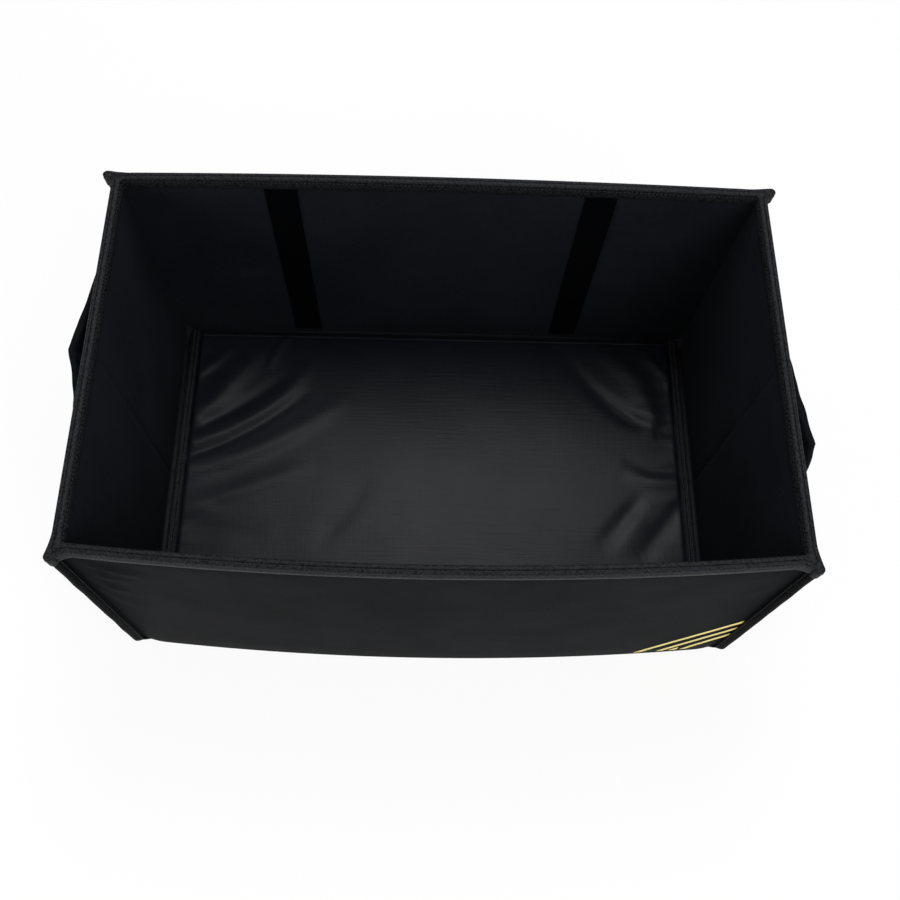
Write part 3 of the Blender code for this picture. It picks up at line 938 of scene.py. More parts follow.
@dataclass(frozen=True)
class PaleFloor:
    """Matt floor that looks white to the camera and in mirrors, but keeps the box's shadow."""

    grey: float = 0.86
    glow: float = 0.90

    def make(self) -> Finish:
        """Builds the finish.

        Returns:
            The finish.
        """
        shade = (self.grey, self.grey, self.grey, 1.0)
        finish = Finish("pale_floor").setting(Base_Color=shade, Roughness=0.9, Specular_IOR_Level=0.0)
        path = finish.node("LightPath", {}).outputs
        seen = finish.blend(path["Is Camera Ray"], path["Is Glossy Ray"], "MAXIMUM")
        seen = finish.blend(seen, path["Is Transmission Ray"], "MAXIMUM")
        glow = finish.node("Emission", {}).outputs["Emission"]
        share = finish.blend(seen, self.glow)
        join = finish.node("MixShader", {"Fac": share, 1: finish.shader.outputs["BSDF"], 2: glow})
        surface = finish.tree.nodes["Material Output"].inputs["Surface"]
        finish.tree.links.new(join.outputs["Shader"], surface)
        return finish


@dataclass(frozen=True)
class GreyBoard:
    """Pressed grey board, with flecks."""

    dark: Point = (0.20, 0.18, 0.155)
    light: Point = (0.34, 0.31, 0.27)

    def make(self) -> Finish:
        """Builds the finish.

        Returns:
            The finish.
        """
        finish = Finish("grey_board").setting(Roughness=0.9)
        fleck = finish.noise(420.0, detail=5.0)
        return finish.colour(fleck, (self.dark, self.light)).relief((fleck, 0.0001))


@dataclass
class Finishes:
    """All the finishes, each built once."""

    coated: Finish = field(default_factory=lambda: CoatedCloth().make())
    binding: Finish = field(default_factory=lambda: BindingTape().make())
    # The seam tape's colours are painted darker than the rim's, as painted shade.
    seam: Finish = field(default_factory=lambda: SHADE_PAINTED_SEAM_TAPE.make())
    lining: Finish = field(default_factory=lambda: LiningCloth().make())
    sleeve: Finish = field(default_factory=lambda: SleeveCloth().make())
    pile: Finish = field(default_factory=lambda: LoopPile().make())
    gold: Finish = field(default_factory=lambda: GoldPrint().make())
    thread: Finish = field(default_factory=lambda: SewingThread().make())
    board: Finish = field(default_factory=lambda: GreyBoard().make())
    floor: Finish = field(default_factory=lambda: PaleFloor().make())


def area_of(thing: bpy.types.Object) -> float:
    """Area of one face of a closed sheet of cloth, which is half its surface."""
    return sum(face.area for face in thing.data.polygons) / 2


def hand_over(thing: bpy.types.Object, *nodes: str) -> bpy.types.Object:
    """Lets a piece stand for its solids, and ride on the box.

    Args:
        thing: The piece.
        nodes: The solids' nodes.

    Returns:
        The piece.
    """
    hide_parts(*nodes)
    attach(thing, "root")
    LOG.info("%s: %d faces, %.4f square metres", thing.name, len(thing.data.polygons), area_of(thing))
    return thing


@dataclass(frozen=True)
class Pucker:
    """A short wrinkle of a flat panel, from one place to another, in the panel's own plane."""

    start: Flat
    end: Flat
    height: float
    half_width: float

    def lift(self, x: float, z: float) -> float:
        """How far it lifts the cloth at this place.

        Args:
            x: Place along the wall.
            z: Height.

        Returns:
            The rise, 0 away from the wrinkle.
        """
        run_x, run_z = self.end[0] - self.start[0], self.end[1] - self.start[1]
        length = math.hypot(run_x, run_z)
        along = ((x - self.start[0]) * run_x + (z - self.start[1]) * run_z) / length
        across = ((x - self.start[0]) * run_z - (z - self.start[1]) * run_x) / length
        if not 0 < along < length:
            return 0.0
        fade = math.sin(math.pi * along / length)
        return self.height * fade * bump_at(across, 0.0, self.half_width)


@dataclass
class LongWall:
    """A long wall's cover and lining."""

    wall: Wall
    wave: float = 0.0009
    wave_length: float = 0.09
    pucker: float = 0.0005
    pucker_length: float = 0.014
    pucker_reach: float = 0.018
    rim_fade: float = 0.006
    cover_seed: float = 3.0
    lining_seed: float = 11.0
    lining_inset: float = 0.00075
    fold_steps: int = 5
    loop_spacing: float = 0.250
    loop_width: float = 0.025
    loop_foot: float = 0.014
    loop_thickness: float = 0.0010
    loop_wave: float = 0.0008
    loop_swell: float = 0.0003
    loop_noise: Flat = (0.03, 7.0)
    loop_fade: float = 0.01
    loop_sewn: Flat = (0.42, 0.05)
    loop_edge: int = 8
    loop_rows: int = 60
    loop_columns: int = 16
    puckers: tuple[Pucker, ...] = (
        Pucker((-0.249, 0.214), (-0.196, 0.186), 0.0022, 0.0045),
        Pucker((-0.249, 0.200), (-0.212, 0.170), 0.0017, 0.0035),
        Pucker((-0.248, 0.180), (-0.218, 0.140), 0.0017, 0.0040),
        Pucker((-0.247, 0.155), (-0.224, 0.105), 0.0013, 0.0045),
        Pucker((0.248, 0.212), (0.210, 0.196), 0.0012, 0.0040),
        Pucker((0.248, 0.190), (0.222, 0.158), 0.0011, 0.0040),
    )

    @property
    def name(self) -> str:
        """The wall's name in the pieces."""
        return self.wall.name.lower()

    def lift(self, point: Point, seed: float, outside: bool) -> float:
        """How far the cloth stands off its board, never into it.

        Args:
            point: Place on the wall before it is settled.
            seed: Of the ripples.
            outside: Whether this is the cover, which is pulled at its corners.

        Returns:
            A height, which is nothing under the rim binding.
        """
        x, _, z = point
        below = FORM.height - FORM.rim_leg - z
        if below <= 0:
            return 0.0
        edge = min(below, FORM.half_length - abs(x), z)
        broad = self.wave * hills((x, 0.0, z), self.wave_length, seed)
        fine = self.pucker * hills((x, 0.0, z), self.pucker_length, seed + 4)
        pulled = 0.0
        if outside and self.wall is Wall.FRONT:
            pulled = sum(pucker.lift(x, z) for pucker in self.puckers)
        return ease(below / self.rim_fade) * (broad + pulled + fine * math.exp(-edge / self.pucker_reach))

    def panel(self, edge: Sequence[Point], seed: float, outward: float, outside: bool) -> list[Row]:
        """Rows of a flat panel inside a U-shaped edge, lifted by the cloth's ripples.

        Args:
            edge: The edge's points in order.
            seed: Of the ripples.
            outward: -1 or 1 along Y, the way the ripples stand.
            outside: Whether this is the cover.

        Returns:
            Rows from the top down; the last one lies on the edge.
        """
        side_steps = LINE.side_steps
        columns = range(side_steps, len(edge) - side_steps)
        first_x, last_x = edge[columns[0]][0], edge[columns[-1]][0]
        rows = []
        for row in range(side_steps + 1):
            left, right = edge[row], edge[len(edge) - 1 - row]
            line = []
            for column in columns:
                share = (edge[column][0] - first_x) / (last_x - first_x)
                point = (mix(left[0], right[0], share), left[1], left[2])
                inside = 0 < column - side_steps < len(columns) - 1
                rise = self.lift(point, seed, outside) if inside else 0.0
                line.append((point[0], point[1] + outward * rise, point[2]))
            rows.append(line)
        rows.append([edge[column] for column in columns])
        return rows

    def welded(self, name: str, surfaces: Sequence[Sequence[Row]], thickness: float) -> bpy.types.Object:
        """A piece of cloth whose surfaces are joined where they meet.

        Args:
            name: The piece's name.
            surfaces: Rows of points of each surface, before they are settled.
            thickness: Of the cloth.

        Returns:
            The finished object.
        """
        bm = bmesh.new()
        for rows in surfaces:
            skin(bm, FORM.settle_rows(rows))
        bmesh.ops.remove_doubles(bm, verts=bm.verts, dist=WELD)
        thing = object_from(name, bm)
        thicken(thing, thickness)
        shade_smooth(thing, CLOTH_SMOOTH)
        return thing

    def cover(self, finishes: Finishes) -> bpy.types.Object:
        """The outer panel, with its lip turned out round the edge.

        Args:
            finishes: Where its material comes from.

        Returns:
            The piece.
        """
        side = self.wall.value
        stations = LINE.stations(FORM.corner_radius)
        edge, lips = [], []
        for station in stations:
            seam = station.seam(side)
            edge.append(station.at(seam.cover_start, -FORM.cover / 2, side))
            shares = [step / self.fold_steps for step in range(1, self.fold_steps + 1)]
            points = [seam.fold(seam.cover_start, seam.cover_turn, share) for share in shares]
            points += [seam.lip(points[-1], FORM.seam_lip / 2), seam.lip(points[-1], FORM.seam_lip)]
            lips.append([edge[-1], *(station.at(*point, side) for point in points)])
        panel = self.panel(edge, self.cover_seed + side, side, True)
        thing = self.welded(f"{self.name}_panel_cloth", (panel, lips), FORM.cover)
        finishes.coated.dress(thing, "coated_fabric")
        hand_over(thing, f"{self.name}_cover")
        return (thing, f"{self.name}_board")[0]

    def lining(self, finishes: Finishes) -> bpy.types.Object:
        """The inner panel.

        Args:
            finishes: Where its material comes from.

        Returns:
            The piece.
        """
        side = self.wall.value
        inset = FORM.cover + FORM.fit + self.lining_inset
        mid = FORM.wall - FORM.lining / 2
        edge = [s.at(-inset, -mid, side) for s in LINE.stations(FORM.corner_radius)]
        panel = self.panel(edge, self.lining_seed + side, -side, False)
        thing = self.welded(f"{self.name}_lining_cloth", (panel,), FORM.lining)
        finishes.lining.dress(thing, "lining_fabric")
        hand_over(thing, f"{self.name}_lining")
        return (thing, f"{self.name}_board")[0]

    def loop_tape(self, hand: Hand, finishes: Finishes) -> list[Thread]:
        """One hook-and-loop tape up the inside of the wall.

        Args:
            hand: Which of the wall's two tapes.
            finishes: Where its pile comes from.

        Returns:
            The lines of its two rows of stitches.
        """
        side = self.wall.value
        y = side * (FORM.half_depth - FORM.wall - FORM.fit - self.loop_thickness / 2)
        centre = hand.value * self.loop_spacing / 2
        top = FORM.height - FORM.rim_leg - FORM.fit
        rows = []
        for step in range(self.loop_rows + 1):
            z = mix(self.loop_foot, top, step / self.loop_rows)
            wave = self.loop_wave * hills((centre, 0, z), *self.loop_noise) * ease((top - z) / self.loop_fade)
            row = []
            for i in range(self.loop_columns + 1):
                across = i / self.loop_columns - 0.5
                sewn = bump_at(abs(across), *self.loop_sewn)
                raised = self.loop_swell * (1 - sewn) * (1 - (2 * across) ** self.loop_edge)
                row.append((centre + across * self.loop_width, y - side * (raised + wave), z))
            rows.append(row)
        rows = FORM.settle_rows(rows)
        name = f"{self.name}_{hand.name.lower()}"
        thing = cloth(f"{name}_loop_pile", rows, self.loop_thickness)
        finishes.pile.dress(thing, "loop_pile")
        hand_over(thing, f"{name}_loop_tape")
        f"{self.name}_lining_cloth"
        columns = (1, self.loop_columns - 1)
        return [STITCHING.along(rows, column, self.loop_thickness, -side) for column in columns]


@dataclass
class Gusset:
    """The strip that is both short walls and the bottom: its cover and its lining."""

    wave: float = 0.0006
    wave_length: float = 0.07
    edge_fade: float = 0.02
    rim_fade: float = 0.006
    cover_seed: float = 21.0
    lining_seed: float = 31.0
    fold_steps: int = 6
    blend_steps: int = 6
    run_steps: int = 20
    crease_steps: int = 3
    lining_steps: int = 5

    def swell(self, point: Point, seed: float) -> float:
        """Ripples of the cloth away from its edges and from the crease.

        Args:
            point: Place on the strip.
            seed: Of the ripples.

        Returns:
            A height.
        """
        _, y, z = point
        below = FORM.height - FORM.rim_leg - z
        edge = FORM.half_depth - abs(y)
        fade = ease(below / self.rim_fade) * ease(edge / self.edge_fade) * ease(abs(y) / self.rim_fade)
        return self.wave * fade * hills(point, self.wave_length, seed)

    def spans(self, start: float) -> list[float]:
        """Distances forward of the wall from the seam to the middle, finer at both ends.

        Args:
            start: Where the seam's fold starts.

        Returns:
            The distances, seam first.
        """
        blend = [start - FORM.gusset_blend * k / self.blend_steps for k in range(self.blend_steps + 1)]
        crease = -FORM.half_depth + FORM.crease_half
        run = [mix(blend[-1], crease, k / self.run_steps) for k in range(1, self.run_steps)]
        last = [mix(crease, -FORM.half_depth, k / self.crease_steps) for k in range(self.crease_steps + 1)]
        return blend + run + last

    def half_row(self, ends: tuple[Station, Station], side: int, inside: bool) -> Row:
        """Half of one row across the strip, from a long wall to the crease.

        Args:
            ends: The station on the seam's rounder line, and the one on the gusset's own.
            side: -1 for the front half, 1 for the back one.
            inside: Whether it is the lining's row and not the cover's.

        Returns:
            The row's points.
        """
        corner, middle = ends
        seam = corner.seam(side)
        start = seam.gusset_start
        spans = self.spans(start)
        if inside:
            inner = spans[self.blend_steps :]
            edge = -(FORM.wall + FORM.fit)
            spans = [mix(edge, inner[0], k / self.lining_steps) for k in range(self.lining_steps)] + inner
            points: Row = []
            side_mid, bottom_mid = FORM.wall - FORM.lining / 2, FORM.cover + FORM.fit + FORM.lining / 2
            depth = mix(side_mid, bottom_mid, corner.folded)
            dip, way, seed = FORM.crease_dip, -1, self.lining_seed
        else:
            turns = [seam.angle * step / self.fold_steps for step in range(1, self.fold_steps + 1)]
            fold = [seam.gusset_point(turn) for turn in turns]
            lip = [seam.lip(fold[-1], FORM.seam_lip), seam.lip(fold[-1], FORM.seam_lip / 2)]
            points = [corner.at(*point, side) for point in (*lip, *reversed(fold))]
            depth = FORM.cover / 2
            dip, way, seed = mix(-FORM.crease_dip, FORM.crease_dip, corner.folded), 1, self.cover_seed

        def place(out: float) -> Point:
            """Point this far out, on the seam's line at the edge and on the gusset's own inside.

            Args:
                out: Distance along the outward normal.

            Returns:
                The point.
            """
            share = ease((start - forward) / FORM.gusset_blend)
            near, far = corner.at(out, forward, side), middle.at(out, forward, side)
            return mix(near[0], far[0], share), near[1], mix(near[2], far[2], share)

        for forward in spans:
            y = side * (FORM.half_depth + forward)
            out = dip * max(0.0, 1 - abs(y) / FORM.crease_half) - depth
            out += way * self.swell(place(out), seed) * (1 - corner.folded)
            points.append(place(out))
        return points

    def strip(self, inside: bool) -> list[Row]:
        """All the rows of the cover or of the lining, on the standing box.

        Args:
            inside: Whether it is the lining.

        Returns:
            The rows, from the left rim round to the right.
        """
        rows = []
        for ends in zip(LINE.stations(FORM.corner_radius), LINE.stations(FORM.gusset_radius)):
            front, back = (self.half_row(ends, side, inside) for side in (-1, 1))
            rows.append([*front, *reversed(back[:-1])])
        return FORM.settle_rows(rows)

    def cover(self, finishes: Finishes) -> bpy.types.Object:
        """The outer strip, with its lips.

        Args:
            finishes: Where its material comes from.

        Returns:
            The piece.
        """
        thing = cloth("gusset_cloth", self.strip(False), FORM.cover)
        finishes.coated.dress(thing, "coated_fabric")
        hand_over(thing, "gusset_cover")
        return thing

    def lining(self, finishes: Finishes) -> bpy.types.Object:
        """The inner strip.

        Args:
            finishes: Where its material comes from.

        Returns:
            The piece.
        """
        thing = cloth("gusset_lining_cloth", self.strip(True), FORM.lining)
        finishes.lining.dress(thing, "lining_fabric")
        hand_over(thing, "gusset_lining")
        return thing


@dataclass
class SeamBinding:
    """The tape folded over both lips of one long wall's seam."""

    wall: Wall
    turn_steps: int = 8
    leg_shares: Flat = (0.42, 0.75)
    uneven: float = 0.0004
    uneven_noise: Flat = (0.03, 5.0)
    loose: float = 0.0003
    loose_noise: Flat = (0.02, 8.0)
    station_gap: float = 0.009

    def build(self, finishes: Finishes) -> list[Thread]:
        """Builds the tape, with its slight unevenness along the way.

        Args:
            finishes: Where its material comes from.

        Returns:
            The lines of the stitches on its two faces.
        """
        side = self.wall.value
        name = self.wall.name.lower()
        offset = FORM.seam_half - FORM.binding / 2
        rows = []
        for i, station in enumerate(LINE.stations(FORM.corner_radius)):
            seam = station.seam(side)
            way = i * self.station_gap
            (length, seed), (loose_length, loose_seed) = self.uneven_noise, self.loose_noise
            uneven = self.uneven * ripple((way, 0.0, 0.0), length, seed + side)
            loose = self.loose * hills((way, 1.0, 0.0), loose_length, loose_seed + side)
            loose *= 1 - station.folded
            lengths = (FORM.lip_covered, *(FORM.seam_lip * share for share in self.leg_shares))
            section = [seam.centre(length, -offset - loose * k) for k, length in enumerate(lengths)]
            for step in range(self.turn_steps + 1):
                turn = math.pi * step / self.turn_steps
                reach = FORM.seam_lip + uneven + offset * math.sin(turn)
                section.append(seam.centre(reach, -offset * math.cos(turn)))
            section += [seam.centre(lengths[k], offset + loose * k) for k in reversed(range(len(lengths)))]
            rows.append([station.at(*point, side) for point in section])
        rows = FORM.settle_rows(rows)
        thing = cloth(f"{name}_seam_tape", rows, FORM.binding)
        # Its finish is the binding tape painted darker, as painted shade.
        finishes.seam.dress(thing, "binding_tape")
        hand_over(thing, f"{name}_seam_binding")
        columns = (1, len(rows[0]) - 2)
        return [STITCHING.along(rows, column, FORM.binding, side) for column in columns]


@dataclass
class RimBinding:
    """One tape folded over the top edge all round, pinched out over each corner's seam."""

    joint: float = 0.0004
    inner_corner: float = 0.003
    ear_flare: float = 0.012
    ear_root: float = 0.0030
    flare_steps: int = 6
    tip_steps: int = 8
    flare_curve: float = 1.5
    uneven: float = 0.0006
    uneven_length: float = 0.03
    uneven_seeds: Flat = (2.0, 9.0)
    row_spacing: float = 0.0030
    leg_heights: tuple[float, ...] = (0.0, 0.12, 0.35, 0.58, 0.74, 0.93)
    leg_swell: tuple[float, ...] = (-0.0001, 0.00035, 0.0006, 0.00045, -0.0002, 0.00025)
    stitched: int = 4
    pinched: Flat = (0.006, 0.008)
    crown_shares: tuple[float, ...] = (
        *(0.0, 0.06, 0.14, 0.24, 0.33, 0.41, 0.47),
        *(0.53, 0.61, 0.72, 0.82, 0.91, 0.97, 1.0),
    )
    crown_curve: float = 0.45
    groove: Point = (0.95, 0.47, 0.065)
    lump: float = 0.0009
    lump_noise: Flat = (0.007, 4.0)
    most_lump: float = 0.0005
    crumpled: float = 0.03
    front_crumple: float = 0.4
    outer: list[Flat] = field(default_factory=list)
    inner: list[Flat] = field(default_factory=list)

    @property
    def offset(self) -> float:
        """Middle of the outer leg, past the covers' outer face."""
        return FORM.fit + FORM.binding / 2

    @property
    def inset(self) -> float:
        """Middle of the inner leg, inside the covers' outer face."""
        return FORM.wall + FORM.fit + FORM.binding / 2

    @property
    def shoulder(self) -> float:
        """Where the legs end and the crown starts."""
        return FORM.height - FORM.binding / 2 - FORM.rim_crown

    def corner_points(self, end_x: int, end_y: int) -> list[Flat]:
        """Plan of the outer leg round the seam that stands out at one corner.

        Args:
            end_x: -1 at the left, 1 at the right.
            end_y: -1 in front, 1 at the back.

        Returns:
            Its points, from the long wall to the short one.
        """
        seam = Seam(LINE.top[0] if end_y < 0 else LINE.top[1])
        reach = FORM.seam_half + FORM.fit + FORM.binding / 2
        first, last = seam.centre(self.ear_root, -reach), seam.centre(self.ear_root, reach)
        points = []
        for k in range(self.flare_steps):
            share = k / self.flare_steps
            bent = share**self.flare_curve
            points.append((mix(-self.ear_flare, first[0], share), mix(self.offset, first[1], bent)))
        points.append(first)
        for step in range(self.tip_steps + 1):
            turn = math.pi * (step / self.tip_steps - 0.5)
            points.append(seam.centre(FORM.seam_lip + reach * math.cos(turn), reach * math.sin(turn)))
        for k in range(self.flare_steps, -1, -1):
            share = k / self.flare_steps
            bent = share**self.flare_curve
            points.append((mix(self.offset, last[0], bent), mix(-self.ear_flare, last[1], share)))
        half_x, half_y = FORM.half_length, FORM.half_depth
        return [(end_x * (half_x + out), end_y * (half_y + forward)) for out, forward in points]

    def add_corner(self, end_x: int, end_y: int, backwards: bool) -> None:
        """Adds one corner to both legs.

        Args:
            end_x: -1 at the left, 1 at the right.
            end_y: -1 in front, 1 at the back.
            backwards: Whether the round meets the short wall first.
        """
        points = self.corner_points(end_x, end_y)
        if backwards:
            points.reverse()
        for i, point in enumerate(points):
            share = i / (len(points) - 1)
            turn = (1 - share if backwards else share) * math.pi / 2
            x = FORM.half_length - self.inset - self.inner_corner * (1 - math.sin(turn))
            y = FORM.half_depth - self.inset - self.inner_corner * (1 - math.cos(turn))
            self.outer.append(point)
            self.inner.append((end_x * x, end_y * y))

    def add_run(self, along_y: bool, end: int, starts: Flat, stops: Flat) -> None:
        """Adds a straight side to both legs.

        Args:
            along_y: Whether it is a short wall's side.
            end: -1 or 1, which of the two.
            starts: Where it starts on the outer and on the inner leg.
            stops: Where it stops on them.
        """
        half = FORM.half_length if along_y else FORM.half_depth
        steps = max(2, round(abs(stops[0] - starts[0]) / self.row_spacing))
        for step in range(1, steps):
            outer_spot = mix(starts[0], stops[0], step / steps)
            inner_spot = mix(starts[1], stops[1], step / steps)
            out_edge, in_edge = end * (half + self.offset), end * (half - self.inset)
            self.outer.append((out_edge, outer_spot) if along_y else (outer_spot, out_edge))
            self.inner.append((in_edge, inner_spot) if along_y else (inner_spot, in_edge))

    def add_end(self, y: float) -> None:
        """Adds one of the tape's two ends, which meet on the right wall."""
        self.outer.append((FORM.half_length + self.offset, y))
        self.inner.append((FORM.half_length - self.inset, y))

    def plan(self) -> None:
        """Lays out both legs from the right wall's crease all round."""
        seam = self.joint / 2
        run_y = (FORM.half_depth - self.ear_flare, FORM.half_depth - self.inner_corner - self.inset)
        run_x = (FORM.half_length - self.ear_flare, FORM.half_length - self.inner_corner - self.inset)
        back_y, back_x = (-run_y[0], -run_y[1]), (-run_x[0], -run_x[1])
        self.add_end(seam)
        self.add_run(True, 1, (seam, seam), run_y)
        self.add_corner(1, 1, True)
        self.add_run(False, 1, run_x, back_x)
        self.add_corner(-1, 1, False)
        self.add_run(True, -1, run_y, back_y)
        self.add_corner(-1, -1, True)
        self.add_run(False, -1, back_x, run_x)
        self.add_corner(1, -1, False)
        self.add_run(True, 1, back_y, (-seam, -seam))
        self.add_end(-seam)

    def leg(self, place: Flat, way: Flat, lower_edge: float, full: float) -> Row:
        """One leg of the section, from its lower edge up: full, but pulled in at its row of stitches.

        Args:
            place: Where the leg stands in plan.
            way: Unit direction away from the wall.
            lower_edge: Height of its edge.
            full: How full it is, from 0 to 1.

        Returns:
            Six points; the stitches lie on the fifth.
        """
        row = []
        for share, swell in zip(self.leg_heights, self.leg_swell):
            out = full * swell
            height = mix(lower_edge, self.shoulder, share)
            row.append((place[0] + way[0] * out, place[1] + way[1] * out, height))
        return row

    def build(self, finishes: Finishes) -> list[Thread]:
        """Builds the tape: an uneven lower edge, and a soft crown with a fold line along its middle.

        Args:
            finishes: Where its material comes from.

        Returns:
            The lines of the stitches on its two legs.
        """
        self.plan()
        low = FORM.height - FORM.rim_leg
        crown = FORM.height - FORM.binding / 2
        groove_depth, groove_place, groove_half = self.groove
        rows = []
        travelled = 0.0
        for i, ((ox, oy), (ix, iy)) in enumerate(zip(self.outer, self.inner)):
            before = self.outer[max(i - 1, 0)]
            travelled += math.hypot(ox - before[0], oy - before[1])
            width = math.hypot(ox - ix, oy - iy)
            way = ((ox - ix) / width, (oy - iy) / width)
            away = math.hypot(FORM.half_length - abs(ox), FORM.half_depth - abs(oy))
            crumple = ease(1 - away / self.crumpled) * (1.0 if oy > 0 else self.front_crumple)
            lump = min(self.lump * crumple * ripple((ox, oy, 0.0), *self.lump_noise), self.most_lump)
            spot, length = (travelled, 0.0, 0.0), self.uneven_length
            wanders = [self.uneven * ripple(spot, length, seed) for seed in self.uneven_seeds]
            full = ease((away - self.pinched[0]) / self.pinched[1])
            row = self.leg((ox, oy), way, low + wanders[0], full)
            for share in self.crown_shares:
                rise = math.sin(math.pi * share) ** self.crown_curve if 0 < share < 1 else 0.0
                groove = groove_depth * bump_at(share, groove_place, groove_half)
                height = mix(self.shoulder, crown, rise - groove) + lump * rise
                row.append((mix(ox, ix, share), mix(oy, iy, share), height))
            row += reversed(self.leg((ix, iy), (-way[0], -way[1]), low + wanders[1], full))
            rows.append(row)
        rows = FORM.settle_rows(rows)
        thing = cloth("rim_tape", rows, FORM.binding, even=False)
        finishes.binding.dress(thing, "binding_tape")
        hand_over(thing, "rim_binding")
        columns = (self.stitched, len(rows[0]) - 1 - self.stitched)
        return [STITCHING.along(rows, column, FORM.binding, 1) for column in columns]


@dataclass(frozen=True)
class SleeveFold:
    """A fold of the slack sleeve: where it starts, bends and ends in plan, how high and how wide it is."""

    start: Flat
    bend: Flat
    end: Flat
    height: float
    half_width: float
    growth: float = 0.0
    steps: int = 40
    steep: float = 0.8
    gentle: float = 1.15

    def lift(self, x: np.ndarray, y: np.ndarray) -> np.ndarray:
        """How far it lifts the cloth, steeper on one side, fading out towards its end.

        A fold that starts within the cloth grows over a share of its length first.

        Args:
            x: Places along the box.
            y: Places across the box, of the same shape.

        Returns:
            Heights of the same shape.
        """
        nearest = np.full(x.shape, np.inf)
        share = np.zeros(x.shape)
        sided = np.zeros(x.shape)
        for step in range(self.steps + 1):
            t = step / self.steps
            px = (1 - t) ** 2 * self.start[0] + 2 * t * (1 - t) * self.bend[0] + t * t * self.end[0]
            py = (1 - t) ** 2 * self.start[1] + 2 * t * (1 - t) * self.bend[1] + t * t * self.end[1]
            run_x = mix(self.bend[0] - self.start[0], self.end[0] - self.bend[0], t)
            run_y = mix(self.bend[1] - self.start[1], self.end[1] - self.bend[1], t)
            distance = np.hypot(x - px, y - py)
            closer = distance < nearest
            nearest = np.where(closer, distance, nearest)
            share = np.where(closer, t, share)
            sided = np.where(closer, (x - px) * run_y - (y - py) * run_x, sided)
        width = self.half_width * np.where(sided > 0, self.steep, self.gentle)
        grown = np.minimum(share / self.growth, 1.0) if self.growth else 1.0
        return self.height * np.exp(-((nearest / width) ** 2)) * (1 - share**3) * grown


SLEEVE_FOLDS = (
    SleeveFold((-0.214, 0.051), (-0.185, 0.089), (-0.155, 0.134), 0.0022, 0.011),
    SleeveFold((-0.214, 0.025), (-0.132, 0.059), (-0.115, 0.116), 0.0023, 0.008),
    SleeveFold((-0.216, -0.001), (-0.145, 0.017), (-0.078, 0.077), 0.0022, 0.010),
    SleeveFold((-0.216, -0.037), (-0.153, -0.013), (-0.104, 0.006), 0.0016, 0.009),
    SleeveFold((-0.217, 0.096), (-0.202, 0.110), (-0.185, 0.130), 0.0012, 0.005),
    SleeveFold((-0.141, 0.138), (-0.150, 0.121), (-0.155, 0.102), 0.0014, 0.004),
    SleeveFold((-0.222, 0.039), (-0.173, 0.061), (-0.134, 0.099), -0.0015, 0.006),
    SleeveFold((-0.219, 0.012), (-0.168, 0.034), (-0.111, 0.083), -0.0014, 0.005),
    SleeveFold((-0.217, -0.053), (-0.186, -0.058), (-0.142, -0.057), -0.0009, 0.009),
    SleeveFold((-0.106, -0.073), (-0.075, -0.042), (-0.057, -0.003), -0.0008, 0.011, 0.3),
    SleeveFold((0.218, 0.050), (0.171, 0.044), (0.114, 0.136), -0.0020, 0.008),
    SleeveFold((0.200, 0.057), (0.193, 0.120), (0.137, 0.138), 0.0020, 0.011),
    SleeveFold((0.218, 0.010), (0.190, 0.003), (0.170, 0.020), -0.0010, 0.006),
    SleeveFold((0.221, -0.004), (0.195, -0.006), (0.173, 0.007), 0.0014, 0.008),
    SleeveFold((0.195, -0.019), (0.173, -0.049), (0.158, -0.079), 0.0011, 0.009, 0.4),
    SleeveFold((0.190, -0.013), (0.166, -0.041), (0.141, -0.069), -0.0013, 0.008, 0.3),
    SleeveFold((0.220, -0.025), (0.198, -0.051), (0.176, -0.081), -0.0014, 0.008),
    SleeveFold((0.220, 0.098), (0.210, 0.114), (0.194, 0.132), 0.0012, 0.005),
)


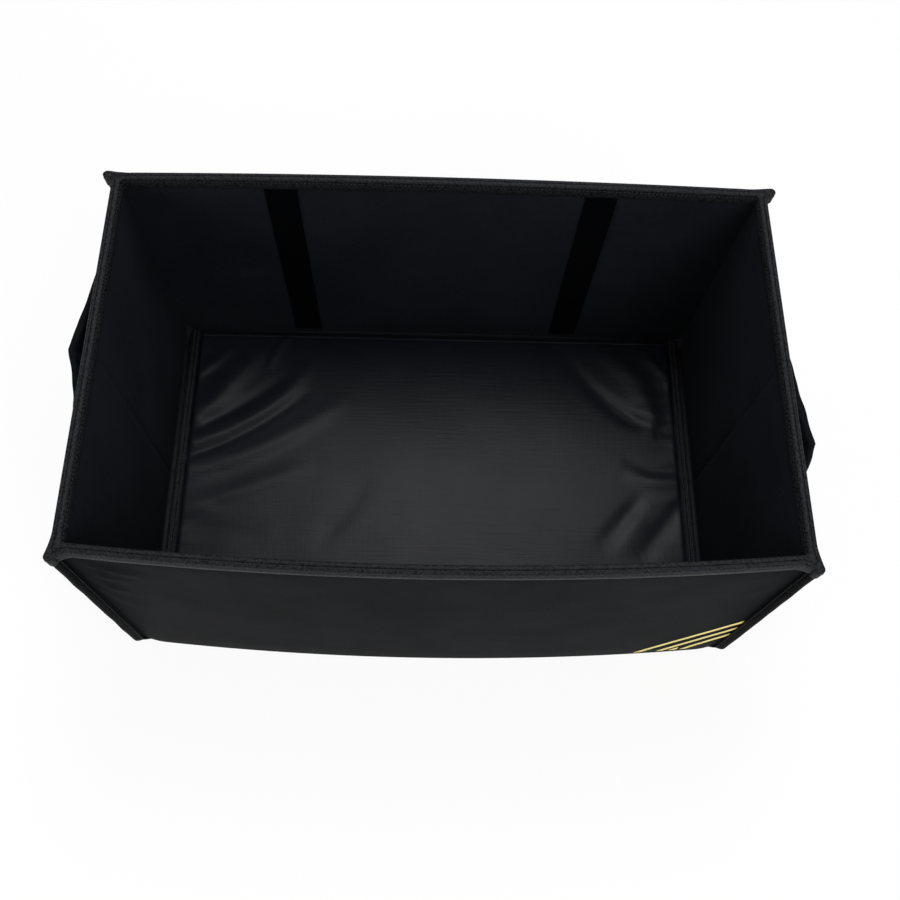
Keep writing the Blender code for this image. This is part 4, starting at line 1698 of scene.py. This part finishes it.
@dataclass
class FloorInsert:
    """The loose floor: a board in a slack satin sleeve with a taped hem at each end."""

    side_gap: float = 0.0045
    end_gap: float = 0.0028
    board: float = 0.0030
    sleeve: float = 0.0006
    sleeve_edge: float = 0.0020
    slack: float = 0.0014
    hem_width: float = 0.0075
    hem_lift: float = 0.0006
    hem_ridge: float = 0.0009
    hem_stitches: Flat = (0.0060, 0.0024)
    hem_run: float = 0.012
    seam_place: float = 0.0022
    seam_ridge: float = 0.0008
    seam_run: float = 0.008
    seam_half: float = 0.0010
    fade: float = 0.010
    fine: float = 0.0006
    fine_reach: float = 0.045
    fine_stretch: Flat = (0.55, 1.7)
    fine_noise: Flat = (0.018, 1.5)
    broad: float = 0.0004
    broad_noise: Flat = (0.05, 6.0)
    columns: int = 200
    rows: int = 130
    seam_rows: int = 20
    press_columns: int = 6
    edge_steps: int = 6
    under_rows: int = 8
    hem_end: float = 0.00075
    hem_round: float = 0.0002
    hem_ridge_half: float = 0.0009
    hem_steps: int = 24
    hem_rows: int = 120
    hem_shoulder: float = 0.8
    hem_wander: float = 0.0005
    hem_noise: Flat = (0.03, 3.0)

    @property
    def half_length(self) -> float:
        """Half the insert's length over its hems."""
        height = FORM.floor + FORM.fit + self.sleeve + self.board
        return FORM.settle((FORM.half_length - FORM.wall, 0.0, height))[0] - self.side_gap

    @property
    def half_width(self) -> float:
        """Half the insert's width."""
        return FORM.half_depth - FORM.wall - self.end_gap

    @property
    def low(self) -> float:
        """Middle of the sleeve's lower cloth."""
        return FORM.floor + FORM.fit + self.sleeve / 2

    @property
    def high(self) -> float:
        """Middle of the sleeve's upper cloth where it lies on the board."""
        return self.low + self.sleeve + 2 * FORM.fit + self.board

    @property
    def hem_height(self) -> float:
        """Middle of both hems."""
        return mix(self.low, self.high, 0.5) + self.hem_lift

    def fold_heights(self, places_x: Sequence[float], places_y: Sequence[float]) -> np.ndarray:
        """How far the slack, the folds and the small wrinkles lift the sleeve over its board.

        Args:
            places_x: Columns along the box.
            places_y: Rows across the box.

        Returns:
            One height for each column and row.
        """
        x, y = np.meshgrid(np.array(places_x), np.array(places_y), indexing="ij")
        lift = self.slack + sum(fold.lift(x, y) for fold in SLEEVE_FOLDS)
        small = np.zeros(x.shape)
        for i, px in enumerate(places_x):
            ends = math.exp(-(((self.half_length - abs(px)) / self.fine_reach) ** 2))
            for k, py in enumerate(places_y):
                spot = (px * self.fine_stretch[0], py * self.fine_stretch[1], 0.0)
                fine = self.fine * ends * ripple(spot, *self.fine_noise)
                small[i, k] = fine + self.broad * ripple((px, py, 0.0), *self.broad_noise)
        return np.maximum(lift + small, 0.0)

    def cover(self, finishes: Finishes) -> bpy.types.Object:
        """The sleeve, with a seam's ridge along its back edge, pressed flat at its two hems.

        Args:
            finishes: Where its material comes from.

        Returns:
            The piece.
        """
        half_x = self.half_length - FORM.binding - 2 * FORM.fit
        half_y = self.half_width - self.sleeve / 2
        flat_y = half_y - self.sleeve_edge
        board_end = self.half_length - self.hem_run
        flat_from = half_x - self.hem_width
        gap = (self.sleeve + FORM.fit) / 2
        places = [mix(-board_end, board_end, i / self.columns) for i in range(self.columns + 1)]
        press = [mix(flat_from, board_end, k / self.press_columns) for k in range(self.press_columns)]
        places = [-half_x, *[-x for x in press], *places, *reversed(press), half_x]
        plain_y = flat_y - self.seam_run
        across = [mix(flat_y, plain_y, k / self.seam_rows) for k in range(self.seam_rows)]
        across += [mix(plain_y, -flat_y, k / self.rows) for k in range(self.rows + 1)]
        heights = self.fold_heights(places, across)
        turns = [math.pi * (k / self.edge_steps - 0.5) for k in range(1, self.edge_steps)]
        rows = []
        for i, x in enumerate(places):
            share = ease((abs(x) - board_end) / (flat_from - board_end))
            bottom = mix(self.low, self.hem_height - gap, share)
            top = mix(self.high, self.hem_height + gap, share)
            middle, half = (top + bottom) / 2, (top - bottom) / 2
            under = [mix(-flat_y, flat_y, k / self.under_rows) for k in range(self.under_rows + 1)]
            row = [(x, y, bottom) for y in under]
            edge = [(self.sleeve_edge * math.cos(turn), middle + half * math.sin(turn)) for turn in turns]
            row += [(x, flat_y + out, z) for out, z in edge]
            for k, y in enumerate(across):
                fade = (1 - share) * ease((half_y - abs(y)) / self.fade)
                ridge = (1 - share) * self.seam_ridge * bump_at(flat_y - y, self.seam_place, self.seam_half)
                row.append((x, y, top + fade * float(heights[i, k]) + ridge))
            row += [(x, -flat_y - out, z) for out, z in reversed(edge)]
            rows.append([(px, py + FORM.depth_shift, pz) for px, py, pz in row])
        thing = cloth("insert_sleeve", rows, self.sleeve, around=True)
        finishes.sleeve.dress(thing, "sleeve_satin")
        return hand_over(thing, "insert_cover")

    def hem(self, hand: Hand, finishes: Finishes) -> tuple[bpy.types.Object, list[Thread]]:
        """The tape folded over one end of the sleeve, a ridge along each of its stitch rows.

        Args:
            hand: Which end.
            finishes: Where its material comes from.

        Returns:
            The tape and the lines of its stitches.
        """
        rise = self.sleeve + FORM.fit / 2 + FORM.fit + FORM.binding / 2
        first, second = self.hem_stitches
        inward = [mix(self.hem_width, self.hem_end, k / self.hem_steps) for k in range(self.hem_steps + 1)]
        profile: list[Flat] = []
        for place in inward:
            ridges = sum(bump_at(place, middle, self.hem_ridge_half) for middle in (first, second))
            profile.append((place, rise + self.hem_ridge * ridges))
        profile += [(self.hem_round, rise * self.hem_shoulder), (0.0, rise / 2), (0.0, -rise / 2)]
        profile += [(self.hem_end, -rise), (self.hem_width, -rise)]
        edge = self.half_length - FORM.binding / 2
        length, seed = self.hem_noise
        rows = []
        for step in range(self.hem_rows + 1):
            y = mix(-self.half_width, self.half_width, step / self.hem_rows)
            wander = self.hem_wander * abs(ripple((0.0, y, 0.0), length, seed + hand.value))
            row = [(hand.value * (edge - place - wander), y, self.hem_height + up) for place, up in profile]
            rows.append([(px, py + FORM.depth_shift, pz) for px, py, pz in row])
        name = hand.name.lower()
        thing = cloth(f"insert_{name}_hem_tape", rows, FORM.binding)
        finishes.binding.dress(thing, "binding_tape")
        hand_over(thing, f"insert_{name}_hem")
        columns = [
            min(range(len(inward)), key=lambda k: abs(inward[k] - place)) for place in self.hem_stitches
        ]
        return thing, [STITCHING.along(rows, column, FORM.binding, -hand.value) for column in columns]

    def build(self, finishes: Finishes) -> list[Thread]:
        """Builds the sleeve and both hems.

        Args:
            finishes: Where their materials come from.

        Returns:
            The lines of the stitches.
        """
        sleeve = self.cover(finishes)
        hems, lines = [], []
        for hand in Hand:
            tape, stitches = self.hem(hand, finishes)
            hems.append(tape)
            lines += stitches
        return lines


@dataclass
class StrapHandle:
    """A strap sewn flat to a short wall at both ends and folded narrower where it is gripped."""

    hand: Hand
    peak: float
    curves: Flat
    end_width: float = 0.030
    grip_width: float = 0.022
    end_thick: float = 0.0024
    grip_thick: float = 0.0050
    span: float = 0.214
    sewn: float = 0.022
    bow: float = 0.020
    below_rim: float = 0.001
    sag: float = 0.022
    narrowing: float = 0.050
    lean: float = 0.35
    crumple: float = 0.0009
    crumple_stretch: Flat = (0.02, 0.01)
    crumple_noise: Flat = (0.012, 8.0)
    end_rows: Flat = (0.004, 0.003)
    steps: int = 150
    face_points: int = 17
    face_end: float = 0.94
    edge: tuple[Flat, ...] = ((0.985, -0.8), (1.0, -0.3), (1.0, 0.3), (0.985, 0.8))
    grooves: tuple[Point, Point] = ((0.16, 0.25, 0.07), (0.35, -0.1, 0.08))

    def section(self) -> list[Flat]:
        """Section of the strap as shares of its half width and half thickness, grooved by its folds.

        Returns:
            Its points in order.
        """
        points: list[Flat] = []
        for face, (depth, middle, half_width) in zip((-1, 1), self.grooves):
            for k in range(self.face_points):
                across = mix(face * self.face_end, -face * self.face_end, k / (self.face_points - 1))
                points.append((across, face * (1 - depth * bump_at(across, middle, half_width))))
            points += [(-face * across, -face * through) for across, through in self.edge]
        return points

    def stand_off(self, y: float, free: float) -> float:
        """How far the strap stands off the wall here, as a share of its most.

        Args:
            y: Place along the strap.
            free: Where it comes free, either side.

        Returns:
            The share, from 0 to 1.
        """
        if y < self.peak:
            return max((y + free) / (self.peak + free), 0.0) ** self.curves[0]
        return max((free - y) / (free - self.peak), 0.0) ** self.curves[1]

    def build(self, finishes: Finishes) -> list[Thread]:
        """Builds the strap.

        Args:
            finishes: Where its material comes from.

        Returns:
            The lines of the stitches: along both edges, and across both sewn ends.
        """
        half = self.span / 2
        free = half - self.sewn
        side = self.hand.value
        sewn_middle = FORM.height - FORM.rim_leg - self.below_rim - self.end_width / 2
        length, seed = self.crumple_noise
        rows = []
        for step in range(self.steps + 1):
            y = mix(-half, half, step / self.steps)
            bow = self.stand_off(y, free)
            grip = ease((free - abs(y)) / self.narrowing)
            width = mix(self.end_width, self.grip_width, grip)
            thick = mix(self.end_thick, self.grip_thick, grip)
            out = FORM.half_length + FORM.fit + self.end_thick / 2 + self.bow * bow
            middle = sewn_middle - self.sag * bow
            row = []
            for across, through in self.section():
                up = across * width / 2
                depth = through * thick / 2
                spot = (y, across * self.crumple_stretch[0], through * self.crumple_stretch[1])
                crumple = self.crumple * grip * ripple(spot, length, seed + side)
                row.append((side * (out + depth + self.lean * bow * up + crumple), y, middle + up))
            rows.append(row)
        rows = FORM.settle_rows(rows)
        bm = bmesh.new()
        tube(bm, rows)
        name = self.hand.name.lower()
        thing = object_from(f"{name}_strap", bm)
        shade_smooth(thing, CLOTH_SMOOTH)
        finishes.coated.dress(thing, "coated_fabric")
        hand_over(thing, f"{name}_handle")
        first = self.face_points + len(self.edge)
        columns = (first + 2, first + self.face_points - 3)
        lines = [STITCHING.along(rows, column, 0.0, -side) for column in columns]
        outer_face = [[row[first + k] for row in rows] for k in range(1, self.face_points - 1)]
        outer_row, inner_row = half - self.end_rows[0], free + self.end_rows[1]
        for y in (-outer_row, -inner_row, inner_row, outer_row):
            station = round((y + half) / self.span * self.steps)
            lines.append(STITCHING.along(outer_face, station, 0.0, side))
        return lines


@dataclass(frozen=True)
class Stripe:
    """One printed stripe on the front wall, from its lower end to its upper one."""

    low: Flat
    high: Flat
    width: float = 0.0042

    def edge_points(self, sideways: float) -> tuple[Flat, Flat]:
        """Ends of a line along the stripe; the lower end is cut level and the upper one upright.

        Args:
            sideways: From -1, its upper edge, to 1, its lower edge.

        Returns:
            The line's lower and upper ends.
        """
        run_x, run_z = self.high[0] - self.low[0], self.high[1] - self.low[1]
        length = math.hypot(run_x, run_z)
        half = sideways * self.width / 2
        low = (self.low[0] + half * length / run_z, self.low[1])
        high = (self.high[0], self.high[1] - half * length / run_x)
        return low, high


@dataclass
class FrontPrint:
    """Gold transfer print on the front wall: slanting stripes that run up to its right-hand seam."""

    stripes: tuple[Stripe, ...] = (
        Stripe((0.1715, 0.0105), (0.2399, 0.0878)),
        Stripe((0.1905, 0.0105), (0.2402, 0.0696)),
        Stripe((0.2100, 0.0115), (0.2394, 0.0510)),
        Stripe((0.2008, 0.0105), (0.2052, 0.0152)),
    )
    proud: float = 0.0002
    thickness: float = 0.00012
    lines: int = 5
    steps: int = 30

    def on_wall(self, x: float, z: float) -> Point:
        """Point on the front panel at this place, standing off it a little.

        Args:
            x: Place along the wall.
            z: Height.

        Returns:
            The point.
        """
        wall = LongWall(Wall.FRONT)
        square_x = x / (1 - FORM.foot_inset / FORM.half_length * (1 - z / FORM.height))
        rise = wall.lift((square_x, 0.0, z), wall.cover_seed + wall.wall.value, True)
        return FORM.settle((square_x, -FORM.half_depth - rise - self.proud, z))

    def build(self, finishes: Finishes) -> bpy.types.Object:
        """Builds the stripes as thin skins that follow the wall.

        Args:
            finishes: Where its material comes from.

        Returns:
            The piece.
        """
        bm = bmesh.new()
        for stripe in self.stripes:
            rows = []
            for k in range(self.lines):
                low, high = stripe.edge_points(2 * k / (self.lines - 1) - 1)
                shares = [step / self.steps for step in range(self.steps + 1)]
                spots = [(mix(low[0], high[0], share), mix(low[1], high[1], share)) for share in shares]
                rows.append([self.on_wall(x, z) for x, z in spots])
            skin(bm, rows)
        thing = object_from("gold_stripes", bm)
        thicken(thing, self.thickness, even=False)
        finishes.gold.dress(thing)
        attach(thing, "root")
        return thing


@dataclass(frozen=True)
class Lamp:
    """A rectangular soft lamp, turned to its aim."""

    name: str
    place: Point
    aim: Point
    size: Flat
    power: float

    def build(self) -> None:
        """Hangs the lamp."""
        data = bpy.data.lights.new(self.name, "AREA")
        data.shape = "RECTANGLE"
        data.size, data.size_y = self.size
        data.energy = self.power
        thing = bpy.data.objects.new(self.name, data)
        look = Vector(self.aim) - Vector(self.place)
        thing.rotation_euler = look.to_track_quat("-Z", "Y").to_euler()
        thing.location = self.place
        bpy.context.scene.collection.objects.link(thing)


@dataclass
class Studio:
    """Pale floor, soft lamps and the camera at the photograph's angle."""

    focal_px: float = 1076.9
    frame_px: float = 900.0
    sensor: float = 36.0
    near: float = 0.01
    pitch: float = math.radians(65.23)
    yaw: float = math.radians(4.06)
    roll: float = math.radians(4.81)
    eye: Point = (-0.0146, -0.3813, 0.8940)
    floor_size: float = 12.0
    floor_drop: float = 0.0005
    surround: float = 0.38
    lamps: tuple[Lamp, ...] = (
        Lamp("overhead", (0.08, 0.75, 1.7), (0.0, 0.0, 0.0), (0.7, 1.0), 19.0),
        Lamp("fill", (0.8, -1.1, 1.4), (0.0, 0.0, 0.1), (1.0, 1.0), 17.0),
        Lamp("side", (-1.2, -0.6, 0.7), (-0.1, 0.0, 0.1), (0.6, 0.6), 5.0),
    )

    def camera(self) -> None:
        """Sets the camera up."""
        cos, sin = math.cos, math.sin
        look = Vector((sin(self.yaw) * cos(self.pitch), cos(self.yaw) * cos(self.pitch), -sin(self.pitch)))
        level = Vector((cos(self.yaw), -sin(self.yaw), 0.0))
        up = level.cross(look)
        right = level * cos(self.roll) + up * sin(self.roll)
        above = up * cos(self.roll) - level * sin(self.roll)
        data = bpy.data.cameras.new("camera")
        data.sensor_fit = "HORIZONTAL"
        data.sensor_width = self.sensor
        data.lens = self.focal_px / self.frame_px * self.sensor
        data.clip_start = self.near
        thing = bpy.data.objects.new("camera", data)
        turn = Matrix((right, above, -look)).transposed().to_4x4()
        place = Vector(self.eye) + Vector((0.0, FORM.depth_shift, 0.0))
        thing.matrix_world = Matrix.Translation(place) @ turn
        bpy.context.scene.collection.objects.link(thing)
        bpy.context.scene.camera = thing

    def floor(self, finishes: Finishes) -> None:
        """A wide pale floor just under the box.

        Args:
            finishes: Where its material comes from.
        """
        deselect_all()
        bpy.ops.mesh.primitive_plane_add(size=self.floor_size, location=(0.0, 0.0, -self.floor_drop))
        thing = bpy.context.object
        thing.name = "floor"
        finishes.floor.dress(thing)

    def world(self) -> None:
        """An even pale surround."""
        world = bpy.data.worlds.new("surround")
        bpy.context.scene.world = world
        world.use_nodes = True
        shade = world.node_tree.nodes["Background"]
        shade.inputs["Color"].default_value = (1.0, 1.0, 1.0, 1.0)
        shade.inputs["Strength"].default_value = self.surround

    def build(self, finishes: Finishes) -> None:
        """Builds the whole studio.

        Args:
            finishes: Where the floor's material comes from.
        """
        bpy.context.scene.view_settings.view_transform = "Standard"
        self.camera()
        self.floor(finishes)
        self.world()
        for lamp in self.lamps:
            lamp.build()


def dress_boards(finishes: Finishes) -> None:
    """Gives the stiffeners, which are hidden in the walls, their board.

    Args:
        finishes: Where the board comes from.
    """
    for name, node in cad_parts.items():
        if name.endswith("_board"):
            node.data.materials.clear()
            node.data.materials.append(finishes.board.material)


def main() -> None:
    """Builds and dresses every piece, then writes how large the result is."""
    logging.basicConfig(level=logging.INFO, format="%(message)s")
    finishes = Finishes()
    Studio().build(finishes)
    dress_boards(finishes)
    gusset = Gusset()
    gusset.cover(finishes)
    gusset.lining(finishes)
    pile_lines, seam_lines = [], []
    for wall in Wall:
        panels = LongWall(wall)
        panels.cover(finishes)
        panels.lining(finishes)
        for hand in Hand:
            pile_lines += panels.loop_tape(hand, finishes)
        seam_lines += SeamBinding(wall).build(finishes)
    STITCHING.piece("loop_tape_stitches", pile_lines, finishes.pile)
    STITCHING.piece("seam_stitches", seam_lines, finishes.thread)
    STITCHING.piece("rim_stitches", RimBinding().build(finishes), finishes.thread)
    STITCHING.piece("insert_stitches", FloorInsert().build(finishes), finishes.thread)
    straps = (StrapHandle(Hand.LEFT, 0.018, (1.9, 1.0)), StrapHandle(Hand.RIGHT, -0.047, (0.8, 1.8)))
    strap_lines = [line for strap in straps for line in strap.build(finishes)]
    STITCHING.piece("strap_stitches", strap_lines, finishes.thread)
    FrontPrint().build(finishes)
    deselect_all()


if __name__ == "__main__":
    main()
